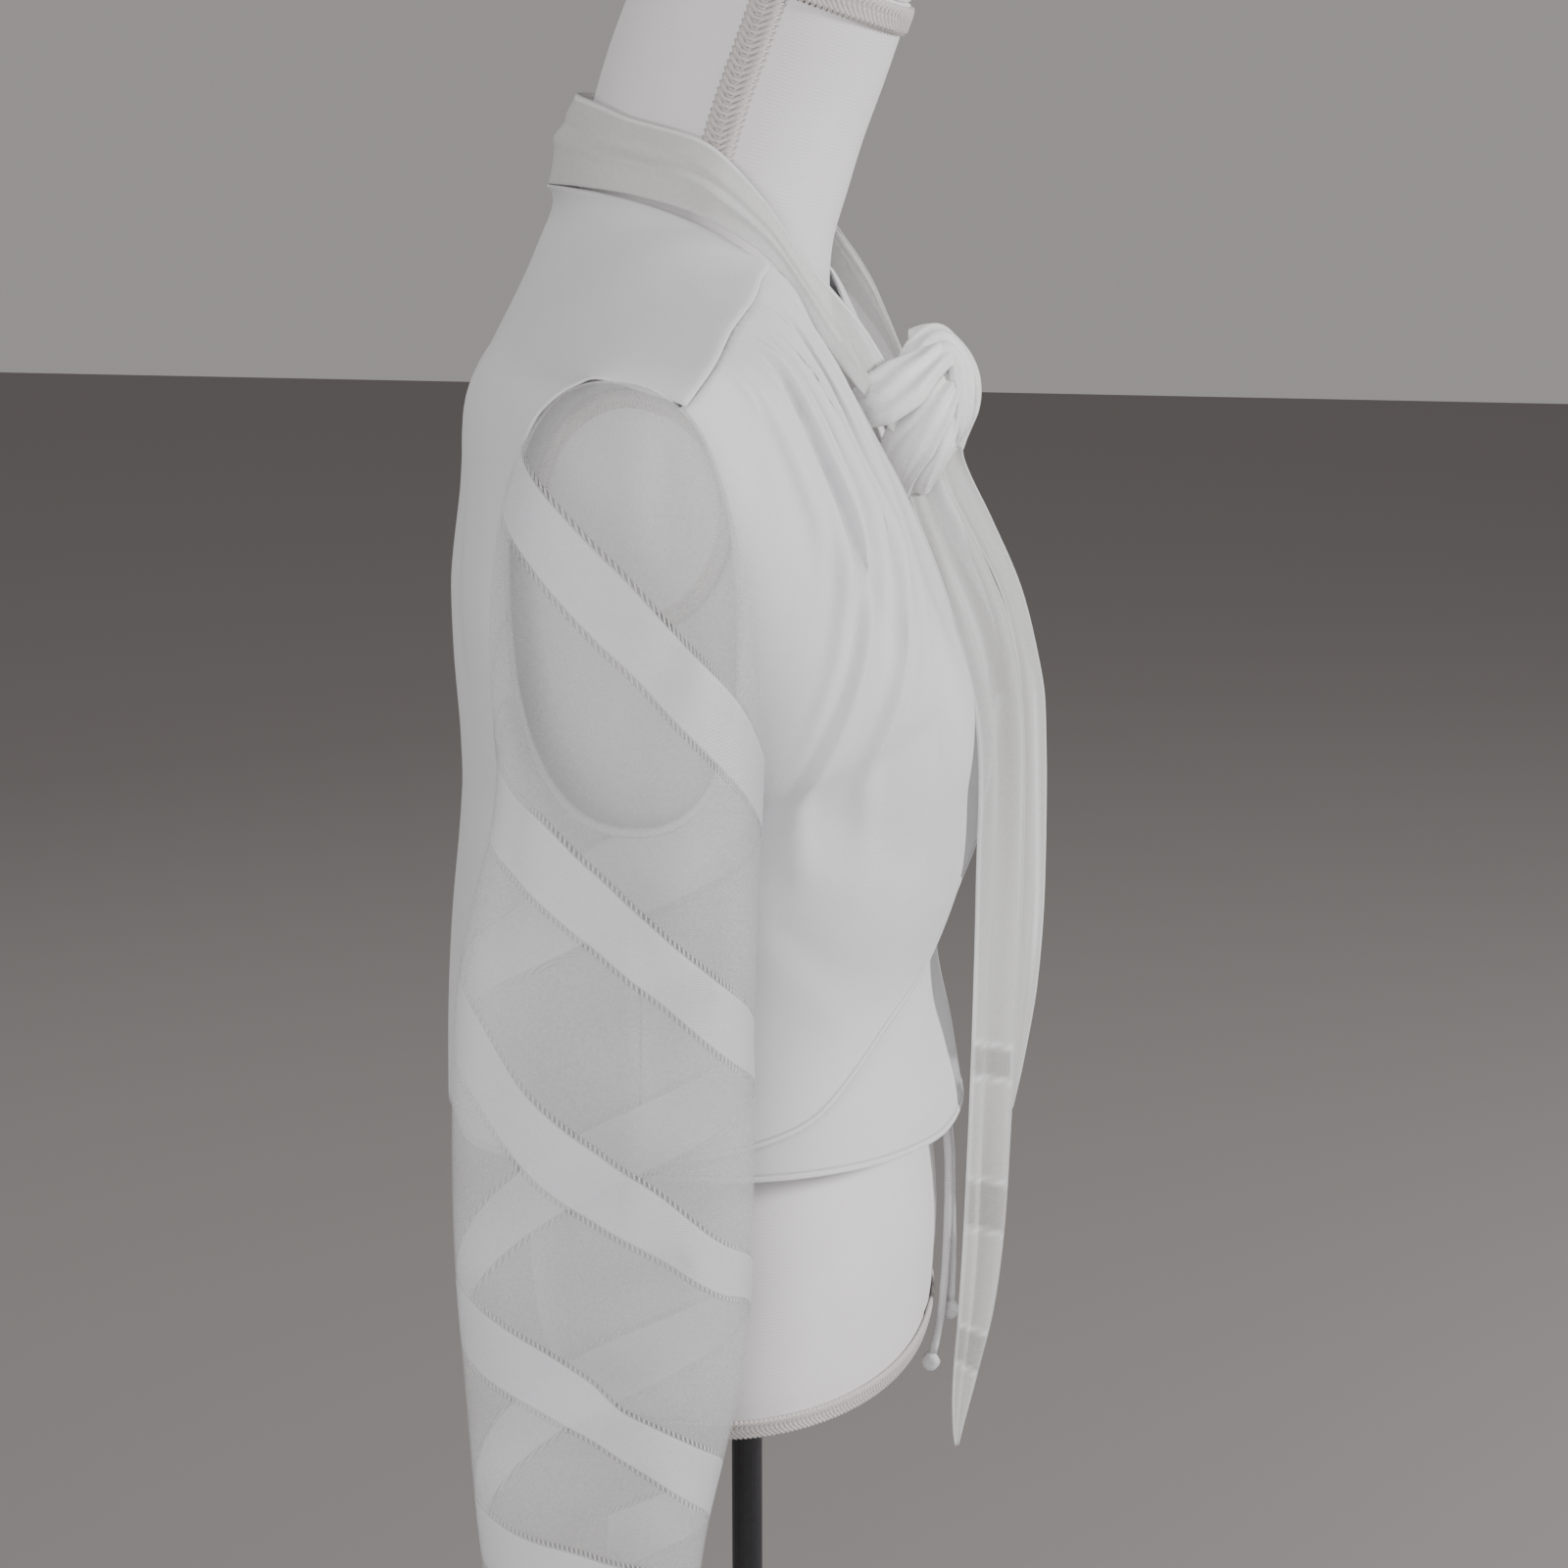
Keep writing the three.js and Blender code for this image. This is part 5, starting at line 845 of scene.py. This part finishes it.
def sleeve_at(where, angle, side):
    """A point of the sleeve: an oval between its outer and inner lines. Angle 0 is the outer line."""
    outer_x, outer_z, inner_x, inner_z, middle, depth, power = columns_of(
        sleeve_rings, "place", where, "outerX", "outerZ", "innerX", "innerZ", "f", "halfDepth", "power")
    across, forward = power_of(np.cos(angle), 2 / power), power_of(np.sin(angle), 2 / power)
    x = (outer_x + inner_x) / 2 + (outer_x - inner_x) / 2 * across
    z = (outer_z + inner_z) / 2 + (outer_z - inner_z) / 2 * across
    return place(side * x, middle + depth * forward, z)


def banding(turn, z):
    """How far a point is from the middle of the nearest band, in half band widths: under 1 is on a band."""
    least = np.full(np.shape(z), 9.0)
    for rows in sleeve_bands.values():
        table = dict(zip(("turn", "upper", "lower"), zip(*rows)))
        for winding in (-1, 0, 1, 2):
            t = turn + winding
            inside = (t >= table["turn"][0]) & (t <= table["turn"][-1])
            upper, lower = columns_of(table, "turn", t, "upper", "lower")
            away = np.abs(z - (upper + lower) / 2) / np.maximum((upper - lower) / 2, 4)
            least = np.where(inside, np.minimum(least, away), least)
    return least


sheer = Finish("sheer_crepe", Sheen_Weight=0.25)
band = sheer.attribute("band")
on_band = 1 - band.above(1.0, 0.05)
in_ladder = band.above(1.04, 0.03) * (1 - band.above(1.21, 0.03))
rung = sheer.thread(0.0021, 0).above(0.3, 0.3)
crepe = sheer.noise(650, 3)
grain = sheer.weave(0.0011)
seam_edge = 1 - (sheer.attribute("seam") + crepe * 0.004).above(0.0095, 0.0012)
ground = sheer.mix(crepe, (0.72, 0.72, 0.725), (0.86, 0.86, 0.865))
banded = sheer.mix(on_band, ground, (0.83, 0.835, 0.87))
sheer.feed("Base Color", sheer.mix(seam_edge, banded, (0.92, 0.92, 0.90)))
sheer.feed("Roughness", 0.66 - on_band * 0.26)
cover_share = (0.22 + on_band * 0.40 + grain * 0.03 + crepe * 0.10).clamped()
opening = in_ladder * (1 - rung)
threads = cover_share + seam_edge * 0.45 + in_ladder * rung * 0.45
sheer.feed("Alpha", (threads * (1 - opening * 0.95)).clamped())
sheer.bump(crepe * (1 - on_band) * 0.9 + grain * 0.2 + in_ladder * rung * 1.5 + on_band * 1.2, 0.0005, 0.8)
sleeve_creases = [
    ([(-236, 30, 420), (-240, 0, 380), (-240, -40, 350)], -2.4, 12),
    ([(-238, 40, 330), (-241, 10, 300), (-241, -30, 285)], 2.0, 12),
    ([(-239, 34, 260), (-241, 0, 236), (-240, -50, 222)], -2.6, 12),
    ([(-234, 44, 200), (-241, 6, 180), (-240, -60, 172)], 1.8, 12),
    ([(-236, 20, 130), (-240, -16, 112), (-238, -66, 106)], -2.2, 12),
    ([(-232, 14, 70), (-238, -24, 56), (-236, -72, 50)], 1.6, 11),
    ([(-226, -52, 440), (-236, -58, 330), (-238, -70, 220), (-236, -74, 90)], -1.8, 10),
    ([(-222, 36, 400), (-228, 40, 300), (-230, 38, 200), (-226, 28, 80)], 1.7, 11),
    ([(-224, 44, 470), (-232, 46, 380), (-236, 34, 300), (-238, 30, 180)], -1.6, 6),
    ([(-234, 52, 330), (-232, 56, 240), (-230, 52, 120)], 1.5, 7),
    ([(-240, -10, 300), (-241, -6, 200), (-239, -20, 60)], 1.3, 9),
    ([(-236, 0, 30), (-236, -34, -10), (-232, -60, -50)], -1.6, 10),
    ([(-214, 8, 500), (-224, 10, 460), (-232, 14, 420)], -1.4, 9),
]
where = np.r_[0.0, 0.003, 0.006, 0.009, np.linspace(0.014, 1, 186)]
turns, where = np.meshgrid(np.linspace(0, 1, 150, endpoint=False), where)
for side, word in ((-1, "right"), (1, "left")):
    # The first two rings are drawn in, to lie under the yoke's edge.
    grid = sleeve_at(where, (turns - 0.25) * 2 * np.pi, side) + np.array((side * 0.0003, 0, 0.00003))
    grid[:2] += np.array((-side, 0, -0.12)) * np.array((0.0045, 0.002))[:, None, None]
    marks = np.where(where < 0.025, 3.0, banding(turns, grid[..., 2] * 1000 - rim_height))
    creases = [([(-side * x, f, z) for x, f, z in line], 1.4 * depth, width) for line, depth, width in sleeve_creases]
    inside = (side * 0.205, 0.02)
    grid = troughs(grid, creases, outward(grid, True, inside))
    down = down_from_top(grid)
    marks = {"band": marks, "seam": np.minimum(down, down[-1:] - down)}
    sleeve = cloth(f"{word}_sleeve", grid, 0.0007, sheer, marks, True, inside)
    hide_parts(f"sleeve_{word}", f"sleeve_band_a_{word}", f"sleeve_band_b_{word}")

# The tie collar is a bias band of the sheer crepe, folded double along its top edge and sewn to the neckline. Its
# ends cross into the knot.
collar_rows = [
    (0, -91.5, 580.6, 0, -79, 622),
    (26, -88, 580.6, 23, -73, 621),
    (50, -68, 580.6, 44, -54, 616),
    (65, -36, 577, 58, -29, 606),
    (71, -4, 568, 63, -3, 592),
    (66.4, 24, 550, 60, 22, 569),
    (61.2, 37.6, 531, 55, 38, 546),
    (55.8, 50.6, 508, 46, 53, 525),
    (48.8, 65, 488, 34, 67, 507),
    (37.5, 72.6, 475, 27, 75, 496),
    (31.4, 78, 467, 22.5, 77.9, 490),
]
tie_cloth = Finish("tie_cloth", Roughness=0.6, Sheen_Weight=0.3)
slub = tie_cloth.noise(500, 3)
tie_grain = tie_cloth.weave(0.001)
sheer_band = tie_cloth.attribute("band")
white_line = tie_cloth.attribute("line")
ivory = tie_cloth.mix(slub, (0.68, 0.675, 0.665), (0.77, 0.765, 0.76))
# The line attribute paints doubled edges, seams and the collar's top fold whiter. On the left tie end it also holds a
# painted highlight along a fold.
tie_cloth.feed("Base Color", tie_cloth.mix(white_line * 0.7, ivory, (0.9, 0.9, 0.9)))
tie_cloth.feed("Alpha", (0.55 + slub * 0.07 + tie_grain * 0.03 + white_line * 0.3 - sheer_band * 0.28).clamped())
tie_cloth.bump(slub * 0.7 + tie_grain * 0.3 + white_line * 0.8, 0.0004, 0.7)
stations = [(-x, f, z, -hx, hf, hz) for x, f, z, hx, hf, hz in collar_rows[:0:-1]] + list(collar_rows)
shares = np.linspace(0, 1, 210)
low = smooth_line([place(*row[:3]) for row in stations], shares)
high = smooth_line([place(*row[3:]) for row in stations], shares)
up_share = np.linspace(0, 1, 26)[None, :, None]
from_back = np.abs(shares - 0.5)
reach = 1 + np.where(shares < 0.5, 0.32, 0.7) * ease(from_back, 0.12, 0.24) * (1 - ease(from_back, 0.42, 0.5))
collar_grid = low[:, None] + (high - low)[:, None] * up_share * reach[:, None, None]
out = collar_grid - np.array((0, 0.01, 0))
out[..., 2] = 0
out /= np.linalg.norm(out, axis=-1, keepdims=True)
v, w = up_share[..., 0], shares[:, None]
toward = np.abs(2 * w - 1)
bow = (3.2 * (1 - 0.75 * toward) * np.sin(np.pi * v) ** 1.6 + 0.5 * np.sin(2 * np.pi * v) * np.sin(9 * w)
       + 1.5 * np.exp(-(((v - 0.42 - 0.5 * (w - 0.3)) / 0.07) ** 2))
       - 1.4 * np.exp(-(((v - 0.6 - 0.6 * (w - 0.35)) / 0.06) ** 2))
       + 0.5 * np.sin(3 * np.pi * v + 5 * w) * np.sin(np.pi * v) * toward)
collar_grid = collar_grid + out * (bow / 1000)[..., None]
lines = 1 - ease(np.abs(v - 0.97) + 0 * w, 0.01, 0.03)
tie_wall = 0.0009
collar = cloth("collar", collar_grid, tie_wall, tie_cloth, {"band": 0 * bow, "line": lines}, False, (0, 0.01))
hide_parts("tie_collar")

# The knot is the crossed ends of the collar: folded bands of the same crepe, drawn tight round each other by hand,
# with slanting pleats. A core stands for the folds inside.
round_knot = np.linspace(0, 2 * np.pi, 48, endpoint=False)
turn, polar = np.meshgrid(round_knot, np.linspace(0.05, np.pi - 0.05, 40))
wide = np.sin(polar) ** 0.85
core = place(3 + 23 * wide * np.cos(turn), 90 + 16 * wide * np.sin(turn), 476 + 31 * np.cos(polar))
knot_straps = [
    ([(-36, 59, 477), (-42, 70, 483), (-37, 81, 490), (-26, 90, 497), (-12, 96, 502),
       (4, 97, 498)], (7, 13, 13, 9, 8, 6), 4.6),
    ([(-12, 100, 488), (-21, 94, 477), (-23, 84, 462), (-18, 77, 448), (-8, 75, 437)], (7, 11, 13, 11, 8), 4.4),
    ([(-20, 80, 492), (-15, 88, 504), (-8, 96, 508), (-2, 103, 499), (-3, 106, 484), (-2, 104, 468),
       (2, 97, 460)], (5, 8, 10, 11, 10, 9, 6), 4.0),
    ([(-11, 101, 477), (-16, 95, 461), (-13, 88, 447), (-6, 84, 438)], (6, 10, 10, 8), 3.6),
    ([(30, 84, 492), (27, 94, 482), (26, 95, 466), (20, 88, 448)], (7, 12, 13, 8), 4.0),
    ([(14, 80, 506), (12, 92, 508), (14, 103, 496), (16, 106, 478), (12, 100, 456)], (6, 10, 12, 12, 7), 4.0),
]


def strap(route, widths, thick):
    """A flattened tube along a route over the knot's core, its flat face outward, with two lengthwise pleats."""
    shares = np.linspace(0, 1, 60)
    line = smooth_line([place(*p) for p in route], shares)
    way = np.gradient(line, axis=0)
    out = line - np.array((0.003, -0.084, 1.033))
    out[:, 2] *= 0.5
    side = np.cross(way, out)
    side /= np.linalg.norm(side, axis=1, keepdims=True)
    out = np.cross(side, way)
    out /= np.linalg.norm(out, axis=1, keepdims=True)
    half = np.interp(shares, np.linspace(0, 1, len(widths)), widths)[:, None] / 1000
    flat, high = power_of(np.cos(round_knot), 0.9)[None], power_of(np.sin(round_knot), 0.65)[None]
    along = shares[:, None]
    pleat = 1.1 + 0.24 * np.cos(2.4 * np.pi * flat + 4 * along) + 0.10 * np.cos(6 * flat - 7 * along)
    rise = high * np.where(high > 0, pleat, 0.8) * thick / 1000
    return line[:, None] + side[:, None] * (half * flat)[..., None] + out[:, None] * rise[..., None]


knot_cloth = Finish("knot_cloth", Roughness=0.6, Sheen_Weight=0.3)
knot_slub = knot_cloth.noise(420, 3, (1, 1, 2))
knot_cloth.feed("Base Color", knot_cloth.mix(knot_slub, (0.66, 0.655, 0.65), (0.83, 0.825, 0.825)))
knot_cloth.bump(knot_slub, 0.0004, 0.7)
neck_knot = capped("neck_knot", knot_cloth, "sheer", core, *(strap(*row) for row in knot_straps))
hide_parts("tie_knot")

# Two tie ends hang from the knot over the wearer's left bust: doubled bands with lengthwise folds, a ladder
# stitched joint and sheerer cross bands, cut to a point.
tie_ends = {
    "right": (1.5, 4.2, [
        (456, -14, 82, 12, 100), (440, -10, 81, 14, 97), (410, -13, 91, 26, 110), (364, -6, 106, 40, 127),
        (314, 2, 116, 48, 134), (237, 8, 116, 52, 135), (161, 10, 115, 52, 133), (90, 12, 113, 50, 131),
        (40, 16, 111, 48, 129), (-4, 19, 108.5, 45, 124.5), (-40, 23, 106, 40, 117), (-66, 27, 106, 35, 111),
        (-78, 29.5, 107, 32, 108.5)]),
    "left": (1.0, 3.6, [
        (462, 6, 92, 24, 103), (446, 14, 93.2, 33, 104), (415, 30, 106, 50, 116), (380, 46, 121, 66, 129),
        (345, 54, 129, 78, 137), (314, 57, 131.5, 84, 141.5), (220, 58, 132, 87, 143), (165, 57, 131, 84, 140.5),
        (124, 56, 130, 73, 135), (102, 57, 130, 62, 131)]),
}
for word, (waves, depth, rows) in tie_ends.items():
    table = dict(zip(("z", "nearX", "nearF", "farX", "farF"), zip(*rows)))
    z = np.linspace(rows[0][0], rows[-1][0], 190)[:, None]
    v = np.linspace(0, 1, 34)[None]
    near_x, near_f, far_x, far_f = columns_of(table, "z", z, "nearX", "nearF", "farX", "farF")
    wide = np.hypot(far_x - near_x, far_f - near_f)
    fold = depth * np.clip(wide / 40, 0.1, 1) * np.sin(2 * np.pi * waves * v) * np.sin(np.pi * v) ** 0.5
    fold = fold + 1.3 * np.sin(2.6 * np.pi * v + z / 52) * np.sin(np.pi * v) * np.clip(wide / 40, 0, 1)
    ux, uf = (far_x - near_x) / wide, (far_f - near_f) / wide
    grid = place(near_x + (far_x - near_x) * v - uf * fold, near_f + (far_f - near_f) * v + ux * fold, z + 0 * v)
    cross, seams = 0 * (z + v), 0 * (z + v)
    if word == "right":
        slanted = z + 16 * (v - 0.5)
        for top, foot in ((146, 128), (72, 44), (-12, -34)):
            cross += ease(slanted, foot - 1, foot + 1) * (1 - ease(slanted, top - 1, top + 1))
            seams += np.exp(-(((slanted - top) / 1.6) ** 2)) + np.exp(-(((slanted - foot) / 1.6) ** 2))
    edges_and_fold_highlight = 1 - ease(np.minimum(v, 1 - v) + 0 * z, 0.01, 0.05)
    # On the left end a strip along one lengthwise fold is painted white with the edges. It is partly the doubled cloth
    # of the fold seen edge-on and partly a painted highlight where the fold catches the light.
    if word == "left":
        bend = 0.84 - 0.10 * ease(z, 200, 320)
        edges_and_fold_highlight = np.maximum(edges_and_fold_highlight, np.exp(-(((v - bend) / 0.07) ** 2)) * ease(z, 150, 200) * (1 - ease(z, 300, 350)))
    marks = {"band": cross, "line": np.clip(edges_and_fold_highlight + seams, 0, 1)}
    ribbon = cloth(f"tie_end_{word}", grid, tie_wall, tie_cloth, marks, False, (0.03, -0.05))
    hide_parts(f"tie_tail_{word}")
    length = (rows[0][0] - rows[-1][0]) / 1000 * 1.03
    cloth_area(ribbon) / length * 1.05
